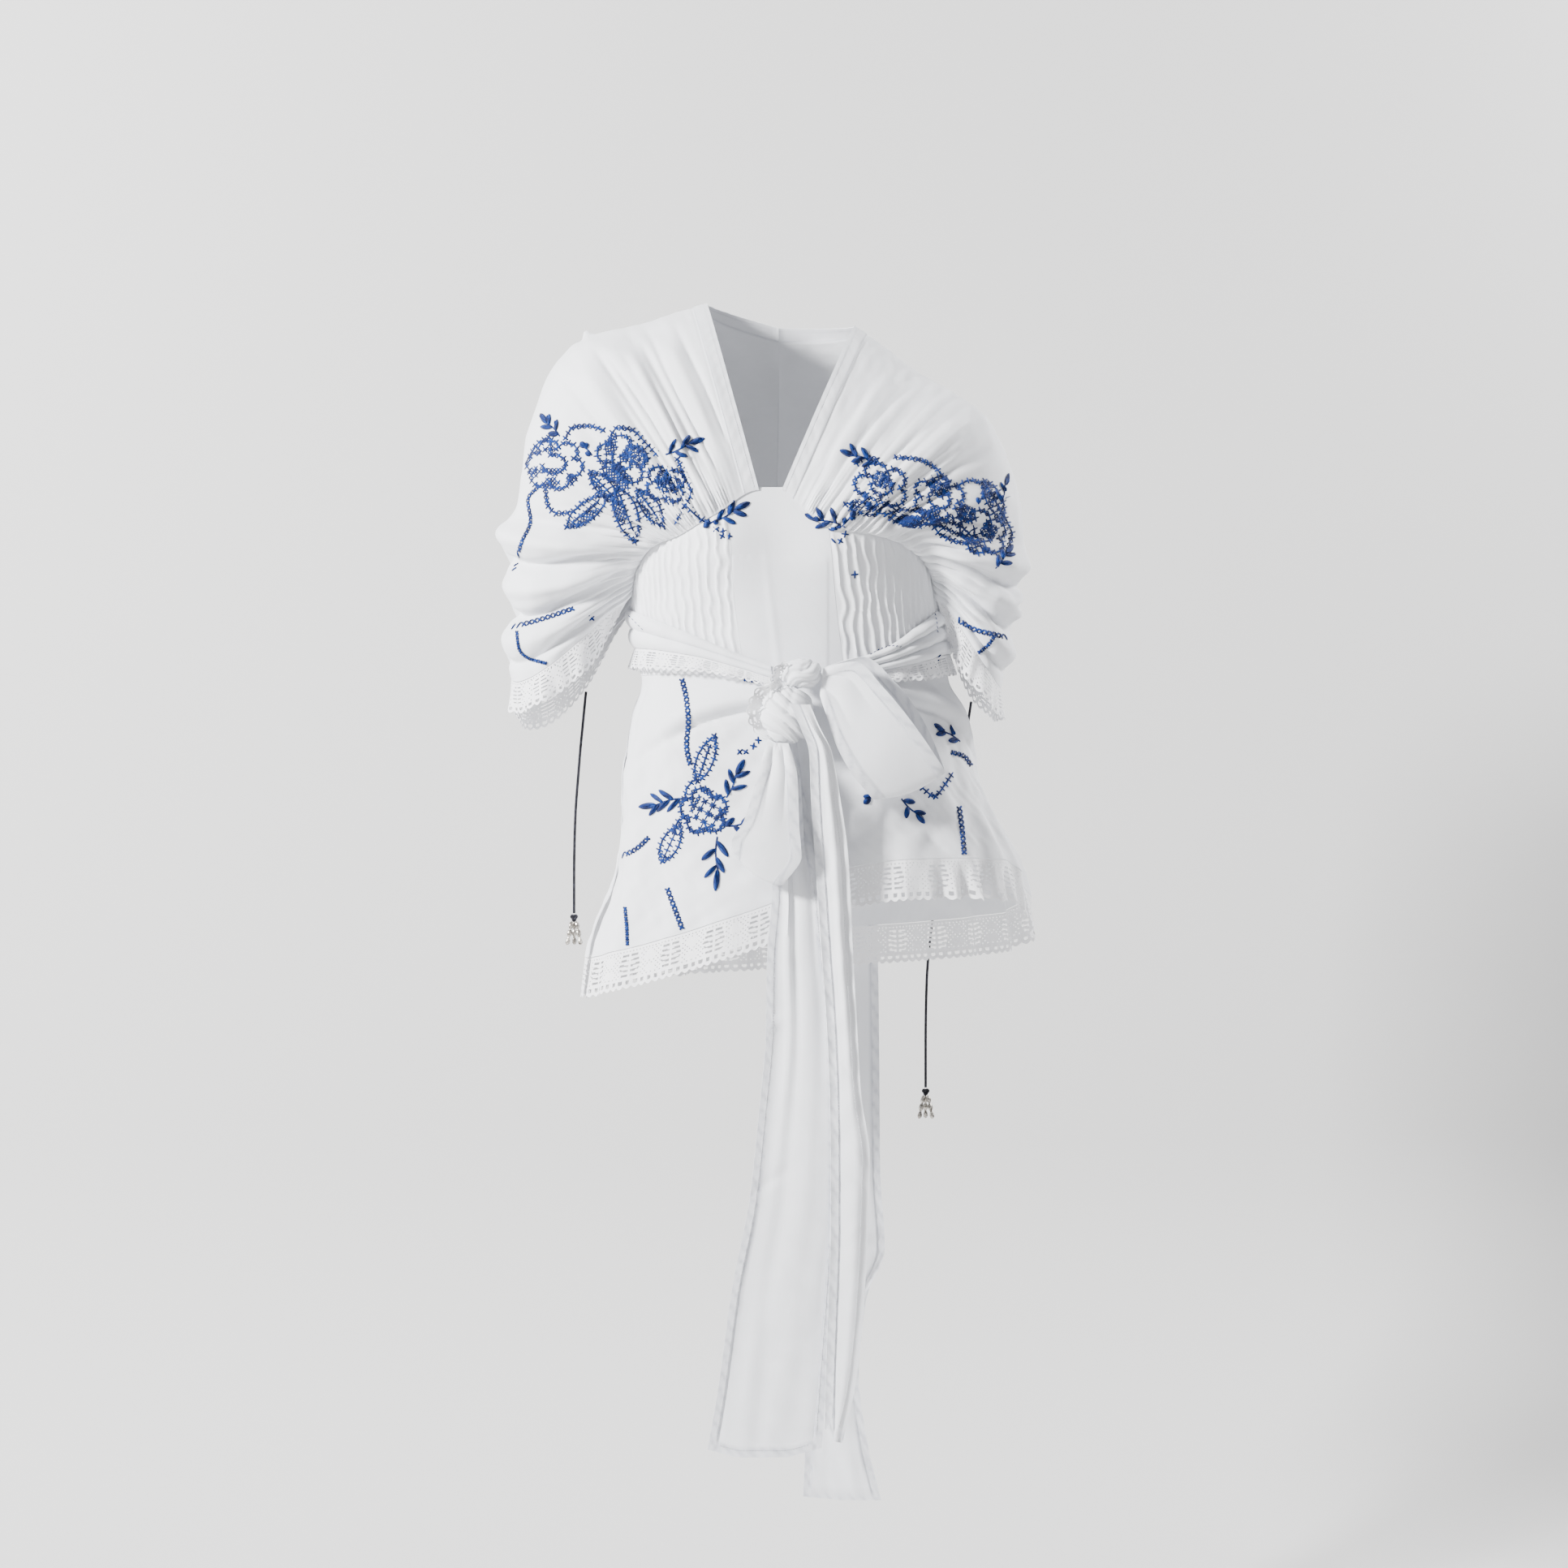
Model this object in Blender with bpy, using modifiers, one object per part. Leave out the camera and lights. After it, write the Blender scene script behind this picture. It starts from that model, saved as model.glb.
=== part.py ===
"""Wrapped blouse reworked from an embroidered linen tablecloth, in its worn shape.

The sizes below are millimetres; the meshes are made in metres, +Z up.
The front of the blouse faces -Y and the wearer's right is at -X.
The origin lies midway between the two points where the blouse rests on the shoulders by the neck.
"""

import math

import bmesh
import bpy
import numpy as np

MM = 0.001
CLOTH_WALL = 1.2
LACE_WALL = 1.0
SEAM_GAP = 0.3
LAYER_GAP = 0.5
SECTION_POWER = 2.4

WAIST_SEAM_Z = -372.0
HEM_LACE_DEPTH = 40.0
SLEEVE_LACE_DEPTH = 31.0
WRAP_LACE_DEPTH = 19.0
TUCK_COUNT = 13
TUCK_HEIGHT = 1.4
CORD_DIAMETER = 3.0
BACK_SAG = 2.2
GATHER_GAP = 1.2
LACE_SEAM_GAP = 0.8

# Angles where the bodice panels meet, in degrees from the front centre
CENTRE_PANEL_EDGE = 14.85
SIDE_PANEL_EDGE = 15.0
SIDE_SEAM = 90.0
BACK_START = 90.15
BACK_END = 269.85

# How the lace strips stand away from what they hang from
HEM_LACE_STAND_OUT = 5.0
WRAP_LACE_STAND_OUT = 5.5
WRAP_LACE_LIFT = 0.4
SLEEVE_LACE_STAND_OUT = 2.0
SLEEVE_LACE_CLEARANCE = 10.0
SLEEVE_LACE_DROP = 0.4
SLEEVE_LACE_INWARD = 0.35
SLEEVE_WAVES = 2.5
SLEEVE_WAVE_HEIGHT = 3.0
ARM_CENTRE_SHARE = 0.78

# Sections of the general figure that fills the blouse
# columns: z, centre x, half width, depth in front, depth behind
FIGURE = (
    (20.0, -2.0, 66.0, 42.0, 60.0),
    (-60.0, -2.0, 110.0, 84.0, 88.0),
    (-120.0, -3.0, 138.0, 102.0, 100.0),
    (-180.0, -4.0, 150.0, 111.0, 103.0),
    (-235.0, 0.0, 158.0, 113.0, 101.0),
    (-290.0, 4.0, 161.0, 108.0, 95.0),
    (-340.0, 10.0, 160.0, 103.0, 90.0),
    (-375.0, 15.0, 160.0, 101.0, 90.0),
    (-411.0, 19.0, 174.0, 104.0, 97.0),
    (-470.0, 20.0, 184.0, 107.0, 112.0),
    (-532.0, 31.0, 196.0, 110.0, 124.0),
    (-586.0, 39.0, 210.0, 112.0, 130.0),
    (-640.0, 32.0, 221.0, 114.0, 134.0),
    (-720.0, 14.0, 226.0, 116.0, 136.0),
)

# The two cups of the bust, alike on both sides of the centre line
CUP_CENTRE_X = 72.0
CUP_Z = -232.0
CUP_REACH_X = 46.0
CUP_REACH_Z = 50.0
CUP_RISE = 13.0

# Top edge of the bodice, all round: the gathered seam, then the open underarm
# columns: angle in degrees from the front centre, z
BODICE_TOP = (
    (-180.0, -186.0),
    (-160.0, -206.0),
    (-136.0, -240.0),
    (-120.0, -268.0),
    (-106.0, -291.0),
    (-98.0, -295.0),
    (-90.0, -296.0),
    (-84.0, -294.0),
    (-78.0, -288.0),
    (-69.0, -262.0),
    (-61.0, -247.0),
    (-53.0, -237.0),
    (-46.0, -232.0),
    (-39.0, -228.0),
    (-27.0, -214.0),
    (-19.0, -203.0),
    (-4.5, -180.5),
    (1.0, -180.5),
    (6.0, -196.0),
    (11.0, -211.0),
    (16.0, -221.0),
    (33.0, -226.0),
    (43.0, -231.0),
    (53.0, -238.0),
    (62.0, -247.0),
    (70.0, -260.0),
    (78.0, -286.0),
    (84.0, -294.0),
    (90.0, -296.0),
    (98.0, -295.0),
    (106.0, -291.0),
    (120.0, -268.0),
    (136.0, -240.0),
    (160.0, -206.0),
    (180.0, -186.0),
)

# Ribs of the right cape, from the neck edge to the sleeve hem
# columns: place, angle on the front seam, ridge x, ridge y, ridge z,
# angle at the back, back z (0 where the rib ends on the back seam), sag, puff
RIGHT_RIBS = (
    (0.00, -4.5, -77.0, 16.0, 18.0, -179.9, -2.0, 0.0, 0.0),
    (0.10, -11.0, -110.0, 12.0, 9.0, -179.9, -36.0, 0.0, 3.0),
    (0.22, -19.0, -160.0, 8.0, -7.0, -179.9, -76.0, 0.0, 8.0),
    (0.32, -27.0, -200.0, 4.0, -15.0, -179.9, -116.0, 0.0, 12.0),
    (0.41, -33.0, -240.0, 0.0, -52.0, -179.9, -154.0, 0.0, 14.0),
    (0.47, -36.5, -257.0, -2.0, -94.0, -179.9, -183.5, 0.0, 15.0),
    (0.51, -39.0, -266.0, -3.0, -122.0, -172.0, 0.0, 2.0, 16.0),
    (0.62, -46.0, -274.0, -6.0, -187.0, -160.0, 0.0, 8.0, 18.0),
    (0.70, -53.0, -290.0, -6.0, -223.0, -148.0, 0.0, 12.0, 20.0),
    (0.78, -61.0, -284.0, -6.0, -262.0, -136.0, 0.0, 14.0, 22.0),
    (0.86, -69.0, -281.0, -6.0, -303.0, -126.0, 0.0, 16.0, 24.0),
    (0.93, -73.0, -286.0, -4.0, -342.0, -116.0, 0.0, 17.0, 26.0),
    (1.00, -76.0, -281.0, -2.0, -372.0, -109.0, 0.0, 18.0, 28.0),
)

# Ribs of the left cape, same columns
LEFT_RIBS = (
    (0.00, 1.0, 77.0, 16.0, -5.0, 179.9, -2.0, 0.0, 0.0),
    (0.12, 6.0, 110.0, 12.0, -28.0, 179.9, -44.0, 0.0, 3.0),
    (0.24, 11.0, 145.0, 8.0, -55.0, 179.9, -84.0, 0.0, 8.0),
    (0.34, 17.0, 182.0, 4.0, -76.0, 179.9, -122.0, 0.0, 12.0),
    (0.43, 25.0, 216.0, 0.0, -102.0, 179.9, -156.0, 0.0, 14.0),
    (0.48, 29.5, 227.0, -2.0, -121.0, 179.9, -183.5, 0.0, 14.5),
    (0.52, 33.0, 236.0, -3.0, -142.0, 172.0, 0.0, 2.0, 15.0),
    (0.61, 43.0, 250.0, -6.0, -193.0, 160.0, 0.0, 4.0, 16.0),
    (0.70, 53.0, 254.0, -6.0, -246.0, 148.0, 0.0, 6.0, 18.0),
    (0.78, 62.0, 247.0, -6.0, -280.0, 136.0, 0.0, 6.0, 20.0),
    (0.86, 70.0, 243.0, -6.0, -312.0, 126.0, 0.0, 6.0, 22.0),
    (0.93, 73.0, 238.0, -4.0, -350.0, 116.0, 0.0, 5.0, 24.0),
    (1.00, 76.0, 230.0, -2.0, -385.0, 109.0, 0.0, 4.0, 26.0),
)

# Folds of the right cape; across runs 0 to 1 from the front seam to the ridge and 2 at the back
# columns: place on the ribs, drift along the fold, half width, rise, start, end
RIGHT_FOLDS = (
    (0.13, 0.02, 0.016, 2.2, 0.10, 0.70),
    (0.19, 0.02, 0.015, -2.6, 0.10, 0.75),
    (0.25, 0.00, 0.016, 2.8, 0.08, 0.70),
    (0.31, 0.02, 0.015, -2.8, 0.08, 0.80),
    (0.37, 0.00, 0.016, 3.2, 0.06, 0.75),
    (0.44, 0.00, 0.020, -3.0, 0.06, 0.60),
    (0.52, 0.03, 0.022, 3.5, 0.05, 0.80),
    (0.62, 0.03, 0.022, -4.0, 0.05, 0.90),
    (0.69, 0.01, 0.022, 7.0, 0.06, 1.30),
    (0.745, 0.01, 0.018, -9.0, 0.04, 1.20),
    (0.80, 0.01, 0.022, 7.0, 0.04, 1.35),
    (0.855, 0.01, 0.018, -8.0, 0.04, 1.25),
    (0.91, 0.00, 0.022, 6.0, 0.05, 1.30),
    (0.955, 0.00, 0.016, -5.0, 0.06, 1.20),
    (0.30, 0.05, 0.030, -4.0, 1.20, 1.85),
    (0.48, 0.04, 0.030, 5.0, 1.15, 1.90),
    (0.60, 0.00, 0.025, -6.0, 1.20, 1.95),
    (0.72, -0.02, 0.025, 6.0, 1.30, 1.95),
    (0.84, -0.02, 0.022, -6.0, 1.30, 1.95),
    (0.93, -0.01, 0.022, 5.0, 1.30, 1.95),
)

# Folds of the left cape, same columns
LEFT_FOLDS = (
    (0.16, 0.02, 0.022, 1.6, 0.10, 0.75),
    (0.27, 0.02, 0.022, -2.0, 0.10, 0.80),
    (0.38, 0.03, 0.022, 2.4, 0.08, 0.75),
    (0.47, 0.02, 0.020, -2.6, 0.08, 0.80),
    (0.55, 0.04, 0.022, 3.0, 0.05, 0.85),
    (0.63, 0.04, 0.020, -3.4, 0.05, 0.90),
    (0.70, 0.03, 0.024, 7.0, 0.04, 1.25),
    (0.755, 0.03, 0.018, -8.0, 0.04, 1.10),
    (0.81, 0.02, 0.022, 7.0, 0.04, 1.25),
    (0.865, 0.02, 0.018, -7.0, 0.04, 1.15),
    (0.92, 0.01, 0.022, 6.0, 0.05, 1.25),
    (0.962, 0.00, 0.014, -4.0, 0.06, 1.20),
    (0.34, 0.05, 0.030, -4.0, 1.20, 1.85),
    (0.50, 0.04, 0.030, 5.0, 1.15, 1.90),
    (0.62, 0.00, 0.025, -6.0, 1.25, 1.95),
    (0.74, -0.02, 0.025, 6.0, 1.30, 1.95),
    (0.86, -0.02, 0.022, -5.0, 1.30, 1.95),
)

# Cloth edge of the hem, all round: angle, z
HEM_EDGE = (
    (-180.0, -640.0),
    (-140.0, -650.0),
    (-110.0, -662.0),
    (-88.0, -667.0),
    (-62.0, -659.0),
    (-36.6, -642.0),
    (-22.0, -626.0),
    (-8.0, -605.0),
    (7.0, -570.0),
    (24.0, -562.0),
    (42.0, -561.0),
    (70.0, -564.0),
    (88.0, -588.0),
    (110.0, -616.0),
    (140.0, -628.0),
    (180.0, -640.0),
)

# Flares of the peplum: angle, half width in degrees, rise, share of the height where it starts
FLARES = (
    (-79.0, 6.0, 6.0, 0.35),
    (-60.0, 6.0, 3.5, 0.45),
    (-37.0, 7.0, 4.0, 0.30),
    (-14.0, 6.0, 3.0, 0.40),
    (22.0, 6.0, 3.5, 0.45),
    (45.0, 6.0, 5.0, 0.40),
    (64.0, 5.0, 7.0, 0.35),
    (80.0, 4.5, 8.0, 0.30),
    (100.0, 5.0, 9.0, 0.25),
    (120.0, 5.0, 9.0, 0.25),
    (140.0, 5.5, 9.0, 0.20),
    (161.0, 5.5, 8.0, 0.20),
    (184.0, 6.0, 9.0, 0.20),
    (206.0, 5.5, 8.0, 0.20),
    (228.0, 5.5, 9.0, 0.25),
    (248.0, 5.5, 8.0, 0.30),
    (265.0, 5.0, 6.0, 0.35),
)

# The swag pulled to the knot from the right hip: angle, z, rise, half height
SWAG = (
    (-70.0, -455.0, 0.0, 14.0),
    (-45.0, -432.0, 4.0, 12.0),
    (-28.0, -414.0, 7.0, 9.0),
    (-12.0, -404.0, 7.0, 8.0),
    (-2.0, -402.0, 3.0, 7.0),
)

# The wrap on each side, from the back to the knot
# columns: angle, top z, lower z, puff of its folds, lift off the bodice
RIGHT_WRAP = (
    (-110.0, -304.0, -345.0, 4.0, 0.0),
    (-90.0, -302.0, -343.0, 5.0, 0.0),
    (-60.0, -312.0, -345.0, 5.0, 0.0),
    (-35.0, -330.0, -352.0, 4.0, 0.5),
    (-15.0, -352.0, -366.0, 3.5, 1.5),
    (-5.5, -363.0, -376.0, 3.5, 3.0),
)
LEFT_WRAP = (
    (110.0, -304.0, -350.0, 5.0, 0.0),
    (90.0, -302.0, -350.0, 6.0, 0.0),
    (74.0, -305.0, -350.0, 7.0, 0.0),
    (52.0, -322.0, -358.0, 7.0, 0.0),
    (30.0, -347.0, -368.0, 5.0, 1.0),
    (17.0, -358.0, -374.0, 4.0, 2.5),
)
BACK_WRAP = (
    (110.3, -304.0, -350.0, 5.0, 0.0),
    (150.0, -306.0, -346.0, 5.0, 0.0),
    (180.0, -310.0, -344.0, 5.0, 0.0),
    (210.0, -306.0, -344.0, 5.0, 0.0),
    (249.7, -304.0, -345.0, 4.0, 0.0),
)

# Bow loops: distance out, left x, left z, right x, right z, middle y, half opening
WEARERS_LEFT_LOOP = (
    (0.00, 40.0, -392.0, 43.6, -366.0, -131.0, 6.0),
    (0.22, 46.0, -412.0, 76.0, -360.0, -131.0, 8.0),
    (0.45, 55.0, -441.0, 106.0, -388.0, -131.0, 11.0),
    (0.72, 72.0, -473.0, 140.0, -430.0, -130.0, 15.0),
    (1.00, 96.0, -502.0, 171.0, -475.0, -126.0, 17.0),
)
WEARERS_RIGHT_LOOP = (
    (0.00, -14.0, -442.6, 8.0, -443.6, -134.0, 6.0),
    (0.25, -24.0, -478.0, 17.0, -480.0, -142.0, 8.0),
    (0.55, -38.0, -524.0, 19.0, -530.0, -143.0, 10.0),
    (0.80, -48.0, -546.0, 17.0, -566.0, -143.0, 12.0),
    (1.00, -46.0, -560.0, 4.0, -592.0, -142.0, 12.0),
)

LOOP_CROWN = 1.5
# Near the knot a loop's two layers keep this share of their opening
LOOP_PINCH = 0.33
LOOP_PINCH_TURN = 2.8

# Tails of the sash: z, left x, right x, middle y, undulation
WIDE_TAIL = (
    (-438.0, -6.0, 16.0, -116.9, 0.2),
    (-520.0, -8.0, 28.0, -119.5, 1.0),
    (-600.0, -9.0, 42.0, -124.5, 1.2),
    (-664.0, -14.0, 48.0, -127.5, 1.5),
    (-734.0, -15.0, 55.0, -128.0, 2.5),
    (-828.0, -23.0, 58.0, -128.0, 3.0),
    (-910.0, -32.0, 59.0, -128.0, 3.0),
    (-1003.0, -50.0, 54.0, -128.0, 3.0),
    (-1110.0, -65.0, 46.0, -128.0, 2.0),
    (-1166.0, -75.0, 42.0, -128.0, 1.5),
)
NARROW_TAIL = (
    (-404.0, 10.0, 30.0, -152.0, 0.2),
    (-425.0, 19.0, 39.0, -151.6, 0.5),
    (-452.0, 29.0, 52.0, -150.0, 1.0),
    (-500.0, 31.0, 61.0, -143.0, 1.5),
    (-559.0, 35.0, 69.0, -138.0, 2.0),
    (-660.0, 42.0, 74.0, -138.0, 2.5),
    (-731.0, 47.0, 78.0, -138.0, 2.5),
    (-800.0, 50.0, 82.0, -138.0, 2.5),
    (-867.0, 51.0, 91.0, -138.0, 2.5),
    (-939.0, 51.0, 89.0, -138.0, 2.5),
    (-1033.0, 48.0, 84.0, -138.0, 2.0),
    (-1094.0, 46.0, 77.0, -138.0, 1.5),
    (-1154.0, 45.0, 63.0, -138.0, 1.0),
)
BACK_TAIL = (
    (-352.0, 46.0, 74.0, 96.0, 1.0),
    (-420.0, 42.0, 90.0, 121.0, 2.0),
    (-520.0, 40.0, 98.0, 146.0, 3.0),
    (-640.0, 38.0, 104.0, 158.0, 3.5),
    (-780.0, 36.0, 106.0, 160.0, 4.0),
    (-900.0, 34.0, 107.0, 160.0, 4.0),
    (-985.0, 33.0, 112.0, 159.0, 4.0),
    (-1040.0, 30.0, 92.0, 158.0, 3.5),
    (-1120.0, 28.0, 84.0, 158.0, 3.0),
    (-1199.0, 26.0, 94.0, 157.0, 2.0),
    (-1256.0, 24.0, 108.0, 156.0, 1.0),
)

TAIL_WAVES = 1.1
TAIL_WAVE_START = 0.4

# Knots of the sash: centre x, y, z, half sizes x, y, z, turns of the groove
LOWER_KNOT = (6.0, -129.7, -414.0, 27.0, 21.0, 29.0, 3.0)
UPPER_KNOT = (21.0, -130.0, -372.0, 21.0, 18.0, 15.0, 2.0)
KNOT_GROOVE = 0.07

# Cord routes, each from the back of a sleeve hem to its knotted end: x, y, z
RIGHT_CORD = (
    (-205.6, 45.2, -387.6),
    (-208.0, 50.0, -410.0),
    (-213.0, 58.0, -460.0),
    (-218.0, 64.0, -530.0),
    (-219.0, 65.0, -580.0),
    (-219.0, 65.0, -622.0),
)
LEFT_CORD = (
    (201.2, 54.0, -398.2),
    (199.0, 62.0, -415.0),
    (193.0, 86.0, -455.0),
    (184.0, 112.0, -505.0),
    (173.0, 136.0, -570.0),
    (162.0, 154.0, -640.0),
    (157.0, 160.0, -700.0),
    (156.0, 161.0, -760.0),
    (156.0, 161.0, -812.0),
)
CORD_KNOT_RADIUS = 4.2
CHARM_HEIGHT = 26.0
CHARM_OFFSET = 2.6
CHARM_LEAN = 13.0
CHARM_DROP = 8.1

# Turned outline of a charm, downwards: share of the height, radius
CHARM_PROFILE = (
    (0.00, 0.7),
    (0.10, 2.2),
    (0.22, 2.5),
    (0.32, 1.2),
    (0.44, 2.5),
    (0.58, 2.5),
    (0.68, 1.2),
    (0.80, 2.3),
    (0.94, 2.1),
    (1.00, 0.6),
)


def column(table, index):
    return np.array([row[index] for row in table], dtype=float)


def smooth(xs, ys, at):
    """Monotone cubic curve through a table's points."""
    at = np.clip(np.asarray(at, dtype=float), xs[0], xs[-1])
    step = np.diff(xs)
    rise = np.diff(ys) / step
    slope = np.zeros(len(xs))
    slope[0] = rise[0]
    slope[-1] = rise[-1]
    for i in range(1, len(xs) - 1):
        if rise[i - 1] * rise[i] > 0:
            before = 2 * step[i] + step[i - 1]
            after = step[i] + 2 * step[i - 1]
            slope[i] = (before + after) / (before / rise[i - 1] + after / rise[i])
    k = np.clip(np.searchsorted(xs, at, side="right") - 1, 0, len(xs) - 2)
    t = (at - xs[k]) / step[k]
    start = ys[k] * (1 + 2 * t) * (1 - t) ** 2 + slope[k] * step[k] * t * (1 - t) ** 2
    end = ys[k + 1] * t**2 * (3 - 2 * t) + slope[k + 1] * step[k] * t**2 * (t - 1)
    return start + end


def read(table, index, at):
    """A column of a table, read by the table's first column in either direction."""
    xs = column(table, 0)
    ys = column(table, index)
    if xs[0] > xs[-1]:
        xs = xs[::-1]
        ys = ys[::-1]
    return smooth(xs, ys, at)


def fade(value, low, high):
    t = np.clip((value - low) / (high - low), 0.0, 1.0)
    return t * t * (3 - 2 * t)


def figure_point(angle, z, out=0.0):
    """Point at an angle from the front centre, at height z, moved out from the figure."""
    turn = np.radians(angle)
    centre = read(FIGURE, 1, z)
    half = read(FIGURE, 2, z)
    depth = np.where(np.cos(turn) >= 0, read(FIGURE, 3, z), read(FIGURE, 4, z))
    power = 2.0 / SECTION_POWER
    across = np.sign(np.sin(turn)) * np.abs(np.sin(turn)) ** power
    along = np.sign(np.cos(turn)) * np.abs(np.cos(turn)) ** power
    x = centre + (half + out) * across
    y = -(depth + out) * along
    rise = 0.0
    for side in (-1, 1):
        reach_x = ((x - centre - side * CUP_CENTRE_X) / CUP_REACH_X) ** 2
        reach_z = ((z - CUP_Z) / CUP_REACH_Z) ** 2
        rise = rise + CUP_RISE * np.exp(-reach_x - reach_z)
    y = y - rise * np.clip(along, 0.0, 1.0)
    return np.stack(np.broadcast_arrays(x, y, z), axis=-1)


def bodice_top(angle):
    wrapped = (np.asarray(angle, dtype=float) + 180.0) % 360.0 - 180.0
    return read(BODICE_TOP, 1, wrapped)


def hem_z(angle):
    wrapped = (np.asarray(angle, dtype=float) + 180.0) % 360.0 - 180.0
    return read(HEM_EDGE, 1, wrapped)


def material(name, colour, roughness, metallic=0.0):
    mat = bpy.data.materials.new(name)
    mat.use_nodes = True
    shader = mat.node_tree.nodes["Principled BSDF"]
    shader.inputs["Base Color"].default_value = (*colour, 1.0)
    shader.inputs["Roughness"].default_value = roughness
    shader.inputs["Metallic"].default_value = metallic
    return mat


def add_mesh(name, vertices, faces, mat, collection):
    mesh = bpy.data.meshes.new(name)
    mesh.from_pydata([tuple(v) for v in vertices], [], faces)
    mesh.update()
    mesh.shade_smooth()
    item = bpy.data.objects.new(name, mesh)
    item.data.materials.append(mat)
    collection.objects.link(item)
    return item


def add_sheet(name, points, wall, mat, collection):
    """A grid of points in millimetres as a cloth wall of even thickness."""
    rows, columns = points.shape[:2]
    faces = []
    for i in range(rows - 1):
        for j in range(columns - 1):
            a = i * columns + j
            faces.append((a, a + columns, a + columns + 1, a + 1))
    item = add_mesh(name, points.reshape(-1, 3) * MM, faces, mat, collection)
    shell = item.modifiers.new("wall", "SOLIDIFY")
    shell.thickness = wall * MM
    shell.offset = 0.0
    return item


def grid_normals(points):
    down = np.gradient(points, axis=0)
    across = np.gradient(points, axis=1)
    normal = np.cross(down, across)
    length = np.linalg.norm(normal, axis=-1, keepdims=True)
    return normal / np.maximum(length, 1e-9)


def bodice_panel(name, start, end, columns, rows, tucks, mat, collection):
    """One bodice panel between two angles, from the gathered seam to the waist."""
    angle = np.linspace(start, end, columns)
    share = np.linspace(0.0, 1.0, rows)
    top = bodice_top(angle)
    z = top[None, :] + (WAIST_SEAM_Z + SEAM_GAP / 2 - top[None, :]) * share[:, None]
    rise = np.zeros_like(z)
    if tucks:
        wave = np.sin(np.arange(columns) * math.pi / 2)
        hold = fade(share, 0.0, 0.25) * (1 - fade(share, 0.75, 1.0))
        ends = np.ones(columns)
        ends[[0, -1]] = 0.0
        rise = TUCK_HEIGHT * hold[:, None] * (wave * ends)[None, :]
    points = figure_point(np.broadcast_to(angle, z.shape), z, rise)
    return add_sheet(name, points, CLOTH_WALL, mat, collection)


def rib_arc(edge, ridge, sag, puff, share, towards):
    """Quarter arc from a seam point out to the ridge; puff swells it to the front or back."""
    turn = share * math.pi / 2
    swell = np.sin(2 * turn)
    x = edge[0] + (ridge[0] - edge[0]) * np.sin(turn)
    z = edge[2] + (ridge[2] - edge[2]) * np.sin(turn) - sag * swell
    y = ridge[1] + (edge[1] - ridge[1]) * np.cos(turn) + towards * puff * swell
    return np.stack((x, y, z), axis=-1)


def seam_point(angle):
    """Point just above the gathered seam, square to it and a little proud of the bodice."""
    step = 0.5
    here = figure_point(angle, bodice_top(angle))
    ahead = figure_point(angle + step, bodice_top(angle + step))
    behind = figure_point(angle - step, bodice_top(angle - step))
    run = ahead - behind
    run = run / np.linalg.norm(run)
    outer = figure_point(angle, bodice_top(angle), 1.0) - here
    outer = outer / np.linalg.norm(outer)
    upward = np.cross(outer, run)
    if upward[2] < 0:
        upward = -upward
    return here + upward * GATHER_GAP + outer * GATHER_GAP


def cape_rib(ribs, place, share_front, share_back):
    """One rib of a cape, from its front seam over the ridge to its back edge."""
    side = np.sign(ribs[-1][1])
    front = seam_point(float(read(ribs, 1, place)))
    ridge = np.array([float(read(ribs, k, place)) for k in (2, 3, 4)])
    back_angle = float(read(ribs, 5, place))
    sag = float(read(ribs, 7, place))
    puff = float(read(ribs, 8, place))
    centre_rows = [row for row in ribs if row[6] != 0.0]
    last_place = centre_rows[-1][0]
    last_z = centre_rows[-1][6]
    if place <= last_place:
        back = figure_point(side * 180.0, float(read(centre_rows, 6, place)))
    else:
        blend = float(fade(place, last_place, 0.51))
        on_seam = seam_point(back_angle)
        on_centre = figure_point(side * 180.0, last_z)
        back = on_seam * blend + on_centre * (1 - blend)
    if abs(back_angle) > 179.0:
        back[0] = read(FIGURE, 1, back[2]) + side * (SEAM_GAP / 2)
    first = rib_arc(front, ridge, sag, puff, share_front, -1.0)
    second = rib_arc(back, ridge, sag * BACK_SAG, puff, share_back, 1.0)
    return np.concatenate((first, second[::-1][1:]))


def fold_rise(folds, place, across):
    rise = np.zeros(np.broadcast(place, across).shape)
    for centre, drift, width, height, start, end in folds:
        span = (across - start) / (end - start)
        line = centre + drift * span
        taper = fade(span, 0.0, 0.3) * (1 - fade(span, 0.7, 1.0))
        rise = rise + height * taper * np.exp(-(((place - line) / width) ** 2))
    return rise


def cape_points(ribs, folds, rows, front_columns, back_columns):
    """Grid of a cape: rows run from the neck edge to the sleeve hem."""
    places = np.linspace(0.0, 1.0, rows)
    share_front = np.linspace(0.0, 1.0, front_columns)
    share_back = np.linspace(0.0, 1.0, back_columns)
    points = np.array([cape_rib(ribs, p, share_front, share_back) for p in places])
    across = np.concatenate((share_front, 2.0 - share_back[::-1][1:]))
    side = np.sign(ribs[-1][1])
    rise = fold_rise(folds, places[:, None], across[None, :])
    rise = rise * fade(across, 0.0, 0.12) * (1 - fade(across, 1.88, 2.0))
    return points + grid_normals(points) * rise[..., None] * side


def cape(name, ribs, folds, mat, collection):
    points = cape_points(ribs, folds, 26, 11, 7)
    if ribs[-1][1] < 0:
        points = points[:, ::-1]
    return add_sheet(name, points, CLOTH_WALL, mat, collection)


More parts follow.
